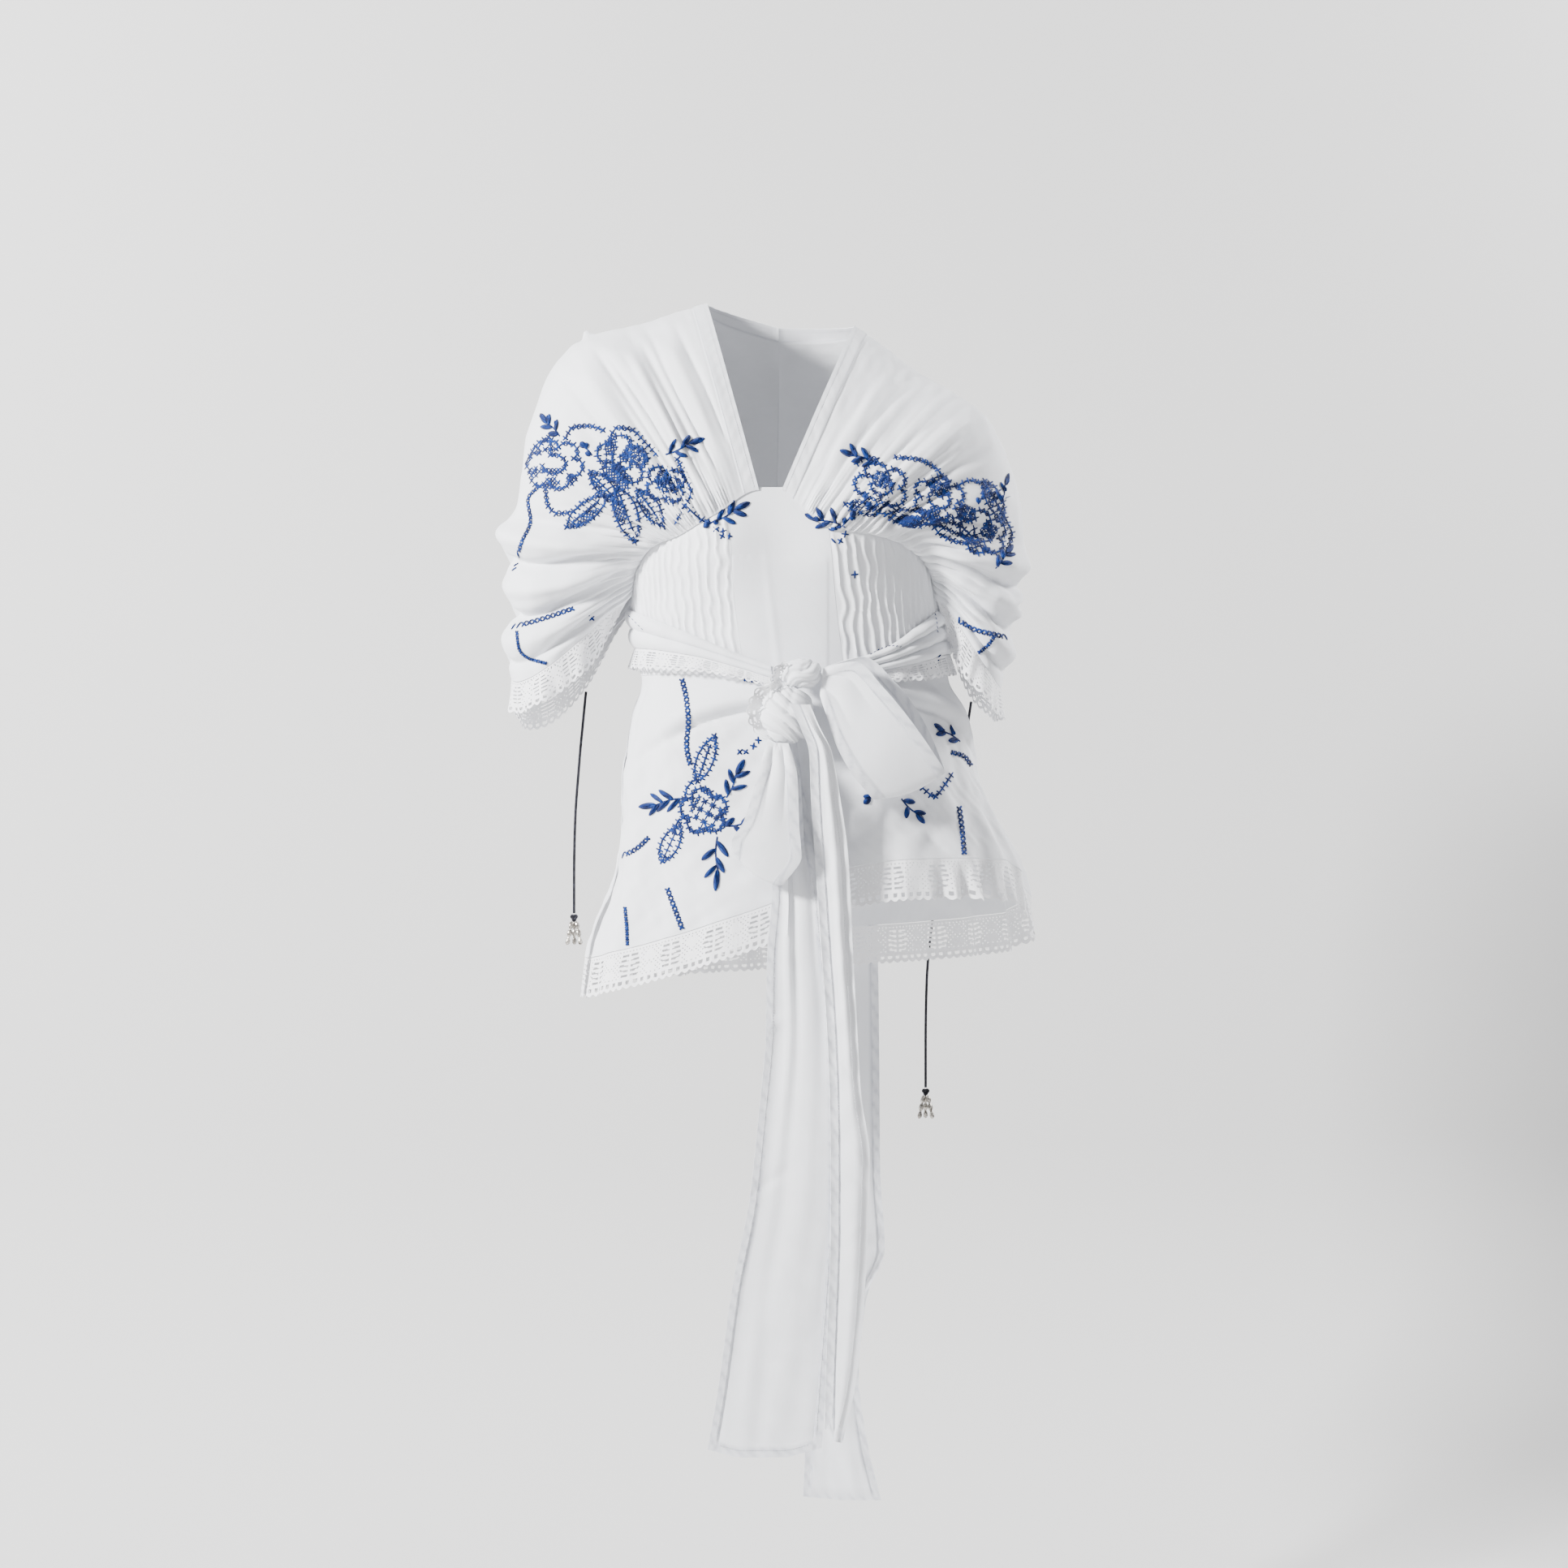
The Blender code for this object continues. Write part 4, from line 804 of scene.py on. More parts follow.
def backPanel():
    look = backLook
    wide, z, share = bodicePoints(look["start"], look["end"], 110, 60)
    rise = look["crumple"] * ripple(wide * 2.6, z, 34.0, 31) * fade(share, 0.0, 0.15)
    phase = wide * look["pleats"] + 0.5 * np.sin(wide * 0.11)
    pleat = np.abs(np.sin(phase * math.pi)) ** 0.8 - 0.5
    rise = rise + look["pleatRise"] * pleat * np.exp(-share / look["pleatReach"]) * fade(share, 0.0, 0.04)
    # the drag folds stay clear of the capes above and the sash below
    clear = fade(share, 0.10, 0.28) * (1 - fade(-z, look["sashTop"], look["sashIn"]))
    for top, foot, width, height in backDrags:
        rise = rise + height * clear * np.exp(-(((wide - top - (foot - top) * share) / width) ** 2))
    points = figurePoint(wide, z, rise)
    return addCloth("backPanel", points, linenFinish, ["bodice_back"])


# peplum: flares are angle, half width, rise, share of the height where each starts
peplum = {
    "flares": (
        (-79.0, 6.0, 6.0, 0.35), (-60.0, 6.0, 3.5, 0.45), (-37.0, 7.0, 4.0, 0.30), (-14.0, 6.0, 3.0, 0.40),
        (22.0, 6.0, 3.5, 0.45), (45.0, 6.0, 5.0, 0.40), (64.0, 5.0, 7.0, 0.35), (80.0, 4.5, 8.0, 0.30),
        (100.0, 5.0, 12.0, 0.20), (120.0, 5.0, 10.0, 0.25), (140.0, 5.5, 9.0, 0.20),
        (161.0, 5.5, 9.0, 0.20), (184.0, 6.0, 13.0, 0.15), (206.0, 5.5, 10.0, 0.20),
        (228.0, 5.5, 13.0, 0.15), (248.0, 5.5, 10.0, 0.25), (265.0, 5.0, 8.0, 0.30),
    ),
    # gathers that hang from under the sash: angle, drift, half width, depth, start, end
    "creases": (
        (-84.0, 2.0, 1.8, 2.6, 0.03, 0.55), (-72.0, -2.0, 1.6, 2.0, 0.03, 0.40),
        (97.0, 2.0, 1.9, 4.2, 0.03, 0.60), (108.0, -3.0, 2.2, 5.4, 0.03, 0.85),
        (118.0, 4.0, 1.8, 3.6, 0.04, 0.55), (131.0, -2.0, 2.4, 5.6, 0.03, 0.90),
        (146.0, 3.0, 1.9, 4.2, 0.03, 0.60), (157.0, -4.0, 2.2, 5.6, 0.03, 0.80),
        (171.0, 2.0, 1.8, 4.0, 0.04, 0.50), (178.0, -3.0, 2.5, 6.2, 0.03, 0.95),
        (193.0, 3.0, 1.9, 4.6, 0.03, 0.60), (201.0, -2.0, 2.2, 5.6, 0.03, 0.85),
        (215.0, 4.0, 1.8, 3.8, 0.04, 0.55), (223.0, -3.0, 2.4, 6.0, 0.03, 0.90),
        (238.0, 2.0, 1.9, 4.4, 0.03, 0.65), (252.0, -3.0, 2.2, 5.2, 0.03, 0.80),
        (262.0, 2.0, 1.7, 3.4, 0.04, 0.55),
    ),
    # pulled to the knot: angle, z, rise, half height
    "swag": (
        (-70.0, -440.0, 0.0, 16.0), (-45.0, -420.0, 6.0, 15.0), (-28.0, -405.0, 10.0, 12.0),
        (-12.0, -396.0, 9.0, 10.0), (-2.0, -394.0, 4.0, 8.0),
    ),
    "leftSwag": (
        (10.0, -388.0, 0.0, 8.0), (34.0, -392.0, 6.0, 9.0), (58.0, -404.0, 7.0, 11.0),
        (76.0, -424.0, 5.0, 13.0), (90.0, -448.0, 0.0, 14.0),
    ),
    # rise, share of z, reach; mm round the skirt for each degree
    "crumples": ((2.6, 0.4, 46.0), (0.9, 1.0, 18.0), (0.35, 1.0, 8.0)),
    "perDegree": 3.2,
}


def swagRise(table, angle, z, gate):
    line = read(table, 1, angle)
    height = read(table, 2, angle) * gate
    half = read(table, 3, angle)
    crest = np.exp(-(((z - line) / half) ** 2))
    valley = np.exp(-(((z - line + half * 1.25) / (half * 0.35)) ** 2))
    return height * crest - 0.5 * height * valley


def peplumPoints(start, end, columns, rows, seed):
    angle = np.linspace(start, end, columns)
    share = np.linspace(0.0, 1.0, rows)[:, None]
    low = hemZ(angle)
    top = waistZ - 0.15
    z = top + (low[None, :] - top) * share
    wide = np.broadcast_to(angle, z.shape)
    turned = (wide + 90.0) % 360.0 - 90.0
    rise = np.zeros(z.shape)
    for centre, width, height, begin in peplum["flares"]:
        rise = rise + height * fade(share, begin, 1.0) * np.exp(-(((turned - centre) / width) ** 2))
    rise = rise + swagRise(peplum["swag"], turned, z, (turned < -1.9))
    rise = rise + swagRise(peplum["leftSwag"], turned, z, (turned > 9.0) & (turned < 90.0))
    for centre, drift, width, depth, begin, end in peplum["creases"]:
        span = (share - begin) / (end - begin)
        reach = width * (1.0 + 1.1 * np.clip(span, 0.0, 1.0))
        taper = fade(span, 0.0, 0.1) * (1 - fade(span, 0.35, 1.0))
        away = (turned - centre - drift * span - 0.7 * np.sin(span * 7.0 + centre)) / reach
        rise = rise - depth * taper * np.exp(-np.abs(away) ** 1.4)
    hold = fade(share, 0.05, 0.3)
    for k, (height, steep, reach) in enumerate(peplum["crumples"]):
        rise = rise + height * ripple(turned * peplum["perDegree"], z * steep, reach, seed + k) * hold
    return figurePoint(wide, z, rise), angle


peplumGrids = {
    "front": peplumPoints(-90.0, 90.0, 191, 90, 41),
    "back": peplumPoints(90.15, 269.85, 171, 70, 51),
}

# wraps: angle, top z, lower z, puff, lift
wraps = {
    "right": (
        (-110.0, -304.0, -345.0, 4.0, 0.0), (-90.0, -302.0, -343.0, 5.0, 0.0),
        (-60.0, -312.0, -345.0, 5.0, 0.0), (-35.0, -330.0, -352.0, 4.0, 0.5),
        (-15.0, -352.0, -366.0, 3.5, 1.5), (-5.5, -363.0, -376.0, 3.5, 3.0),
    ),
    "left": (
        (110.0, -304.0, -350.0, 5.0, 0.0), (90.0, -302.0, -350.0, 6.0, 0.0),
        (74.0, -305.0, -350.0, 7.0, 0.0), (52.0, -322.0, -358.0, 7.0, 0.0),
        (30.0, -347.0, -368.0, 5.0, 1.0), (17.0, -358.0, -374.0, 4.0, 2.5),
    ),
    "back": (
        (110.3, -304.0, -350.0, 5.0, 0.0), (150.0, -306.0, -346.0, 5.0, 0.0),
        (180.0, -310.0, -344.0, 5.0, 0.0), (210.0, -306.0, -344.0, 5.0, 0.0),
        (249.7, -304.0, -345.0, 4.0, 0.0),
    ),
}
wrapLook = {
    "base": 3.1, "crumple": 0.5, "wander": 0.10,
    # columns, rows, folds, seed
    "grids": {"right": (120, 34, 2, 81), "left": (110, 46, 3, 83), "back": (110, 34, 2, 85)},
}


def wrapPoints(table, columns, rows, folds, seed):
    angle = np.linspace(min(table[0][0], table[-1][0]), max(table[0][0], table[-1][0]), columns)
    share = np.linspace(0.0, 1.0, rows)[:, None]
    top, bottom, puff, lift = (read(table, k, angle)[None, :] for k in (1, 2, 3, 4))
    z = top + (bottom - top) * share
    wide = np.broadcast_to(angle, z.shape)
    phase = share * folds + wrapLook["wander"] * ripple(wide, z * 0.0, 30.0, seed)
    roll = np.abs(np.sin(np.clip(phase, 0, folds) * math.pi)) ** 0.6
    crumple = wrapLook["crumple"] * ripple(wide * 2.5, z, 14.0, seed + 1) * fade(share, 0, 0.1)
    return figurePoint(wide, z, wrapLook["base"] + lift + puff * roll + crumple), angle


# lace: everything is charted on small square cells
laceLook = {
    "cell": 1.28, "repeat": 46.0, "scallop": 8.4, "scallopDepth": 3.0, "spider": 11.5, "oval": 6.0,
    # shares of the depth: header, row of holes, body, edge loops
    "header": 0.05, "holes": 0.10, "bodyTop": 0.13, "body": 0.64, "bodyEnd": 0.79, "edge": 0.94,
    # the hole in each edge loop: shares of the depth and of the scallop
    "loopDeep": (0.83, 0.90), "loopWide": (0.25, 0.75),
    # paired slits: lean, shares of the arm's length and of the lean; ovals: places, half height
    "slitLean": 5.0, "slitLong": (0.12, 0.97), "slitWide": (0.30, 0.74),
    "ovals": (0.25, 0.75), "ovalHigh": 0.17,
}


def laceChart(length, depth, hemDepth):
    # returns the cells that stay, on a grid of square cells along the strip
    look = laceLook
    columns = max(8, int(round(length / look["cell"])))
    rows = max(6, int(round(depth / look["cell"])))
    u = (np.arange(columns) + 0.5) * length / columns
    w = (np.arange(rows) + 0.5) / rows
    keep = np.ones((rows, columns), dtype=bool)
    scale = depth / hemDepth
    loopTop, loopEnd = look["loopDeep"]
    loopLeft, loopRight = look["loopWide"]
    slitStart, slitEnd = look["slitLong"]
    slitLeft, slitRight = look["slitWide"]
    pitch = look["repeat"] * max(scale, 0.55)
    arm = look["spider"] * scale
    for j in range(columns):
        spot = (u[j] % pitch) / pitch
        fromSpider = min(spot, 1 - spot) * pitch
        centre = abs(spot - 0.5) * pitch
        inCell = (u[j] % look["scallop"]) / look["scallop"]
        for i in range(rows):
            d = w[i]
            band = (d - look["bodyTop"]) / look["body"]
            if d < look["header"] or d > look["edge"]:
                continue
            if d < look["holes"]:
                keep[i, j] = j % 3 != 0
            elif d > look["bodyEnd"]:
                keep[i, j] = not (loopTop < d < loopEnd and loopLeft < inCell < loopRight)
            elif fromSpider < arm:
                # paired slits lean out from the spider's bar, with a larger pair at its head
                lean = band * look["slitLean"] + 0.25 * fromSpider / arm
                inSlit = slitStart * arm < fromSpider < arm * (slitEnd - 0.5 * abs(band - 0.5))
                keep[i, j] = not (inSlit and slitLeft < lean % 1.0 < slitRight)
            else:
                # a mesh ground with two solid ovals in the middle of each diamond
                near = (centre / (look["oval"] * scale)) ** 2
                oval = min(near + ((band - middle) / look["ovalHigh"]) ** 2 for middle in look["ovals"])
                keep[i, j] = oval < 1.0 or i % 2 == 1 or (j + i // 2 * 2) % 4 != 0
    return keep, columns, rows


def laceStrip(name, edge, fall, depth, out, nodes, hemDepth=40.0):
    # edge and out are given along the strip; fall is the unit direction down the lace
    at = runLengths(edge)
    keep, columns, rows = laceChart(at[-1], float(np.max(depth)), hemDepth)
    place = np.linspace(0.0, at[-1], columns + 1)

    def along(values):
        return np.stack([np.interp(place, at, values[:, k]) for k in range(values.shape[1])], axis=-1)

    top = along(edge)
    down = along(fall)
    down = down / np.linalg.norm(down, axis=1, keepdims=True)
    push = along(out)
    deep = np.interp(place, at, depth)
    scallop = laceLook["scallop"]
    bay = np.abs(np.sin(place / scallop * math.pi))
    w = np.linspace(0.0, 1.0, rows + 1)
    points = np.zeros((rows + 1, columns + 1, 3))
    for i, share in enumerate(w):
        reach = deep * share + laceLook["scallopDepth"] * (bay - 0.45) * fade(share, 0.74, 1.0)
        points[i] = top + down * reach[:, None] + push * share
    return addCloth(name, points, laceFinish, nodes, laceWall, keep)


laceDepths = {"hem": 40.0, "sleeve": 31.0, "sash": 19.0, "chart": 24.0}
laceDrop = np.array([0.0, 0.0, -1.0])
laceStart = np.array([0.0, 0.0, 0.8])


def outwardAt(angle):
    # level directions away from the figure at these angles
    turn = np.radians(angle)
    return np.stack((np.sin(turn), -np.cos(turn), np.zeros(len(angle))), axis=-1)


def hemLace(name, panel, nodes, waves, height, curl, seed):
    points, angle = panel
    edge = (points[-1] - laceStart)[::2]
    angle = angle[::2]
    along = np.linspace(0.0, 1.0, len(angle))
    swing = np.sin(along * waves * 2 * math.pi + 0.9 * np.sin(along * 17.0 + seed)) * height
    strength = 0.55 + 0.45 * np.sin(along * 9.0 + seed)
    fall = np.tile(laceDrop, (len(angle), 1))
    ruffled = 1.0 + curl * fade(angle, 22.0, 50.0)
    out = outwardAt(angle) * (swing * strength * ruffled + 5.0)[:, None]
    depth = laceDepths["hem"] + 0.35 * swing * strength * (ruffled - 1.0)
    return laceStrip(name, edge, fall, depth, out, nodes)


def sleeveLace(name, cape, nodes, points, seed):
    grid = points[:, ::-1] if cape["side"] < 0 else points
    edge = grid[-1]
    run = np.gradient(edge, axis=0)
    run = run / np.linalg.norm(run, axis=-1, keepdims=True)
    down = grid[-1] - grid[-8]
    fall = down - run * np.sum(down * run, axis=-1, keepdims=True)
    fall = fall / np.linalg.norm(fall, axis=-1, keepdims=True)
    kernel = np.ones(9) / 9.0
    padded = np.pad(fall, ((4, 4), (0, 0)), mode="edge")
    fall = np.stack([np.convolve(padded[:, k], kernel, mode="valid") for k in range(3)], axis=-1)
    fall[:, 0] *= np.where(fall[:, 0] * cape["side"] < 0, 0.35, 1.0)
    fall[:, 2] -= 0.4
    fall = fall / np.linalg.norm(fall, axis=-1, keepdims=True)
    across = np.linspace(0.0, 2.0, len(edge))
    depth = laceDepths["sleeve"] * (0.3 + 0.7 * fade(across, 0.0, 0.4))
    depth = depth * (0.4 + 0.6 * fade(2.0 - across, 0.0, 0.2))
    nearBody = 1 - fade(np.minimum(across, 2.0 - across), 0.0, 0.35)
    middle = np.array([cape["ribs"][-1][2] * 0.78, 0.0, 0.0])
    outward = edge - middle
    outward[:, 2] = 0.0
    outward = outward / np.linalg.norm(outward, axis=-1, keepdims=True)
    aside = np.zeros((len(edge), 3))
    aside[:, 0] = cape["side"] * 0.7
    aside[:, 1] = np.where(across < 1.0, -0.7, 0.7)
    wave = np.sin(across * math.pi * 5.0 + seed) * 3.0 * fade(across, 0.2, 0.5) + 2.0
    wave = wave + 1.2 * np.sin(across * math.pi * 13.0)
    out = outward * (wave * (1 - nearBody))[:, None] + aside * (nearBody * 10.0)[:, None]
    start = edge + fall * 0.8
    if cape["side"] < 0:
        start, fall, depth, out = start[::-1], fall[::-1], depth[::-1], out[::-1]
    return laceStrip(name, start, fall, depth, out, nodes)


def wrapLace(name, panel, table, nodes):
    points, angle = panel
    outward = outwardAt(angle)
    ends = np.abs(angle - table[-1][0]) / abs(table[-1][0] - table[0][0])
    depth = laceDepths["sash"] * (0.45 + 0.55 * fade(ends, 0.0, 0.5))
    edge = points[-1] - laceStart + outward * 0.4
    fall = np.tile(laceDrop, (len(angle), 1))
    out = outward * (5.5 + 1.3 * np.sin(angle * 0.55))[:, None]
    return laceStrip(name, edge, fall, depth, out, nodes, laceDepths["chart"])


print("building the cloth")
rightGrid, rightGrey = capePoints(rightCape)
leftGrid, leftGrey = capePoints(leftCape)
centrePanel()
tuckedPanel("tuckedRight", -90.0, -15.0, "bodice_side_right", 61)
tuckedPanel("tuckedLeft", 15.0, 90.0, "bodice_side_left", 71)
backPanel()
for side in ("front", "back"):
    addCloth(f"peplum{side.title()}", peplumGrids[side][0], linenFinish, [f"peplum_{side}"])
for side, grid, grey in (("Right", rightGrid, rightGrey), ("Left", leftGrid, leftGrey)):
    addCloth(f"cape{side}", grid, linenFinish, [f"cape_{side.lower()}"],
             hems=grey)
wrapGrids = {}
for side, grid in wrapLook["grids"].items():
    wrapGrids[side] = wrapPoints(wraps[side], *grid)
    addCloth(f"wrap{side.title()}", wrapGrids[side][0], linenFinish, [f"wrap_{side}"])
print("building the lace")
hemLace("hemLaceFront", peplumGrids["front"], ["hem_lace_front"], 17.0, 1.5, 4.6, 1)
hemLace("hemLaceBack", peplumGrids["back"], ["hem_lace_back"], 17.0, 6.0, 0.0, 2)
sleeveLace("sleeveLaceRight", rightCape, ["sleeve_lace_right"], rightGrid, 0.0)
sleeveLace("sleeveLaceLeft", leftCape, ["sleeve_lace_left"], leftGrid, 0.5)
for side, panel in wrapGrids.items():
    wrapLace(f"wrapLace{side.title()}", panel, wraps[side], [f"wrap_lace_{side}"])

# bow loops: distance out, left x, left z, right x, right z, middle y, half opening
bow = {
    "leftLoop": (
        (0.00, 40.0, -392.0, 43.6, -366.0, -131.0, 6.0),
        (0.22, 46.0, -412.0, 76.0, -360.0, -131.0, 8.0),
        (0.45, 55.0, -441.0, 106.0, -388.0, -131.0, 11.0),
        (0.72, 72.0, -473.0, 140.0, -430.0, -130.0, 15.0),
        (1.00, 96.0, -502.0, 171.0, -475.0, -126.0, 17.0),
    ),
    "rightLoop": (
        (0.00, -14.0, -442.6, 8.0, -443.6, -134.0, 6.0),
        (0.25, -24.0, -478.0, 17.0, -480.0, -142.0, 8.0),
        (0.55, -38.0, -524.0, 19.0, -530.0, -143.0, 10.0),
        (0.80, -50.0, -544.0, 21.0, -560.0, -143.0, 13.0),
        (1.00, -51.0, -556.0, 2.0, -590.0, -142.0, 13.0),
    ),
    "around": 120,
    "across": 44,
    "hem": 10.5,
    "bulge": 8.0,
    "flatHalf": 0.33,
    "crown": 1.5,
    "gathers": 2.6,
    "gatherRise": 3.0,
    "crumple": 1.1,
    "hemRise": 0.5,
    "sway": {"bowLoopLeft": (11.0, 8.0), "bowLoopRight": (4.0, 0.0)},
}


def bowLoop(name, table, node, seed):
    turn = np.linspace(0.0, 2 * math.pi, bow["around"])
    out = (1 - np.cos(turn)) / 2
    left = np.stack((read(table, 1, out), read(table, 2, out)), axis=-1)
    right = np.stack((read(table, 3, out), read(table, 4, out)), axis=-1)
    middle = read(table, 5, out)
    opening = read(table, 6, out)
    swing = np.sin(turn)
    nearKnot = np.abs(turn - math.pi) > 2.8
    swing[nearKnot] = np.where(turn[nearKnot] < math.pi, bow["flatHalf"], -bow["flatHalf"])
    share = np.linspace(0.0, 1.0, bow["across"])
    crown = np.sin(share * math.pi) * bow["crown"]
    flat = left[:, None, :] + (right - left)[:, None, :] * share[None, :, None]
    y = middle[:, None] - swing[:, None] * (opening[:, None] + crown[None, :] * out[:, None])
    # the folded end rounds off, and the layer behind shows beside the front one
    far = int(np.argmax(out))
    way = (left[far] + right[far] - left[0] - right[0]) / 2
    way = way / np.linalg.norm(way)
    rounding = np.sin(share * math.pi) ** 0.7 - 0.45
    flat = flat + (out[:, None, None] ** 5) * rounding[None, :, None] * way[None, None, :] * bow["bulge"]
    behind = (turn > math.pi) * np.sin(np.clip(out, 0, 1) * math.pi)
    flat = flat + behind[:, None, None] * np.array(bow["sway"][name])[None, None, :]
    points = np.stack((flat[..., 0], y, flat[..., 1]), axis=-1)
    # gathers leave the knot and die out; hems are a thread thicker
    width = np.linalg.norm(right - left, axis=-1)[:, None]
    across = share[None, :]
    gather = (np.abs(np.sin(across * math.pi * bow["gathers"] + 0.6)) ** 0.8 - 0.5) * bow["gatherRise"]
    gather = gather * (1 - fade(out, 0.1, 0.62))[:, None] * fade(out, 0.0, 0.08)[:, None]
    soft = bow["crumple"] * ripple(out[:, None] * 120.0 + swing[:, None] * 30.0, across * 60.0, 26.0, seed)
    fromEdge = np.minimum(across, 1 - across) * width
    hemRise = bow["hemRise"] * (1 - fade(fromEdge, bow["hem"] - 0.8, bow["hem"] + 0.8))
    normal = gridNormals(points)
    if normal[20, bow["across"] // 2, 1] > 0:
        normal = -normal
    points = points + normal * (gather + soft * fade(out, 0.0, 0.2)[:, None] + hemRise)[..., None]
    along = runLengths(points[:, 0])
    # painted shade in the hems' groove and puckers, with the double cloth a little greyer
    grey = hemGreyAndShade(fromEdge, bow["hem"], along[:, None], fromEdge) * fade(out, 0.05, 0.25)[:, None]
    return addCloth(name, points, linenFinish, [node], hems=grey)


# tails: rows are z, left x, right x, middle y, undulation; folds are place across, half width, rise;
# foot is places across and how far the foot rises there
tails = {
    "tailWide": {
        "node": "tail_wide", "facing": -1, "seed": 91, "hem": 8.5, "oneHem": False,
        "folds": ((0.30, 0.06, 3.2), (0.42, 0.06, -2.4), (0.76, 0.07, -2.0)),
        "foot": ((0.0, 0.25, 0.7, 1.0), (0.0, -8.0, -8.0, 2.0)),
        # z, place across, half height, rise, slant
        "creases": (
            (-735.0, 0.15, 7.0, 1.4, 0.5), (-905.0, 0.2, 6.0, -1.6, 0.7), (-1010.0, 0.6, 10.0, 1.0, -0.3),
        ),
        "rows": (
            (-438.0, -6.0, 16.0, -116.9, 0.2), (-520.0, -8.0, 28.0, -119.5, 1.0),
            (-600.0, -9.0, 42.0, -124.5, 1.2), (-664.0, -14.0, 48.0, -127.5, 1.5),
            (-734.0, -15.0, 55.0, -128.0, 2.5), (-828.0, -23.0, 58.0, -128.0, 3.0),
            (-910.0, -32.0, 59.0, -128.0, 3.0), (-1003.0, -50.0, 54.0, -128.0, 3.0),
            (-1110.0, -65.0, 46.0, -128.0, 2.0), (-1166.0, -75.0, 42.0, -128.0, 1.5),
        ),
    },
    "tailNarrow": {
        "node": "tail_narrow", "facing": -1, "seed": 93, "hem": 9.5, "oneHem": True,
        "folds": ((0.66, 0.12, 2.6), (0.9, 0.08, -1.6)),
        "foot": ((0.0, 0.3, 0.5, 1.0), (10.0, 10.0, -2.0, -4.0)),
        "creases": (
            (-640.0, 0.7, 6.0, 1.2, -0.8), (-760.0, 0.6, 5.0, -1.4, -0.9), (-850.0, 0.75, 7.0, 1.5, -0.7),
            (-872.0, 0.7, 4.0, -1.2, -0.7), (-955.0, 0.6, 8.0, 1.0, 0.6),
        ),
        "rows": (
            (-404.0, 10.0, 30.0, -152.0, 0.2), (-425.0, 19.0, 39.0, -151.6, 0.5),
            (-452.0, 29.0, 52.0, -150.0, 1.0), (-500.0, 31.0, 61.0, -143.0, 1.5),
            (-559.0, 35.0, 69.0, -138.0, 2.0), (-660.0, 42.0, 74.0, -138.0, 2.5),
            (-731.0, 47.0, 78.0, -138.0, 2.5), (-800.0, 50.0, 82.0, -138.0, 2.5),
            (-867.0, 51.0, 91.0, -138.0, 2.5), (-939.0, 51.0, 89.0, -138.0, 2.5),
            (-1033.0, 48.0, 84.0, -138.0, 2.0), (-1094.0, 46.0, 77.0, -138.0, 1.5),
            (-1154.0, 45.0, 63.0, -138.0, 1.0),
        ),
    },
    "tailBack": {
        "node": "tail_back", "facing": 1, "seed": 95, "hem": 8.5, "oneHem": False,
        "folds": ((0.35, 0.07, 2.4), (0.7, 0.06, -1.8)),
        "foot": ((0.0, 0.5, 1.0), (4.0, 0.0, 0.0)),
        "creases": (
            (-600.0, 0.4, 8.0, 1.4, 0.5), (-790.0, 0.6, 7.0, -1.4, -0.4), (-1000.0, 0.8, 9.0, 1.8, 0.3),
        ),
        "rows": (
            (-352.0, 46.0, 74.0, 96.0, 1.0), (-420.0, 42.0, 90.0, 121.0, 2.0),
            (-520.0, 40.0, 98.0, 146.0, 3.0), (-640.0, 38.0, 104.0, 158.0, 3.5),
            (-780.0, 36.0, 106.0, 160.0, 4.0), (-900.0, 34.0, 107.0, 160.0, 4.0),
            (-985.0, 33.0, 112.0, 159.0, 4.0), (-1040.0, 30.0, 92.0, 158.0, 3.5),
            (-1120.0, 28.0, 84.0, 158.0, 3.0), (-1199.0, 26.0, 94.0, 157.0, 2.0),
            (-1256.0, 24.0, 108.0, 156.0, 1.0),
        ),
    },
}


tailLook = {
    "rows": 190, "fine": 10, "coarse": 18, "hemRise": 0.8, "groove": 0.35, "pucker": 0.38,
    "undulation": 0.7, "waves": 2.2, "footLength": 90.0, "wander": 0.05, "creaseWide": 0.22,
    # how much the folds flatten, between these distances below the knot
    "flatten": 0.75, "flattenFrom": 180.0, "flattenTo": 520.0,
    # rise, share of x, share of z, reach
    "crumples": ((1.0, 1.0, 0.3, 40.0), (0.5, 1.4, 1.0, 17.0)),
}


def edgeSpaced(width, hem, fine, coarse):
    # places across a strip, closer together over the hems
    edge = hem / width
    first = np.linspace(0.0, edge, fine)
    middle = np.linspace(edge, 1 - edge, coarse)
    last = np.linspace(1 - edge, 1.0, fine)
    return np.concatenate((first, middle[1:-1], last))


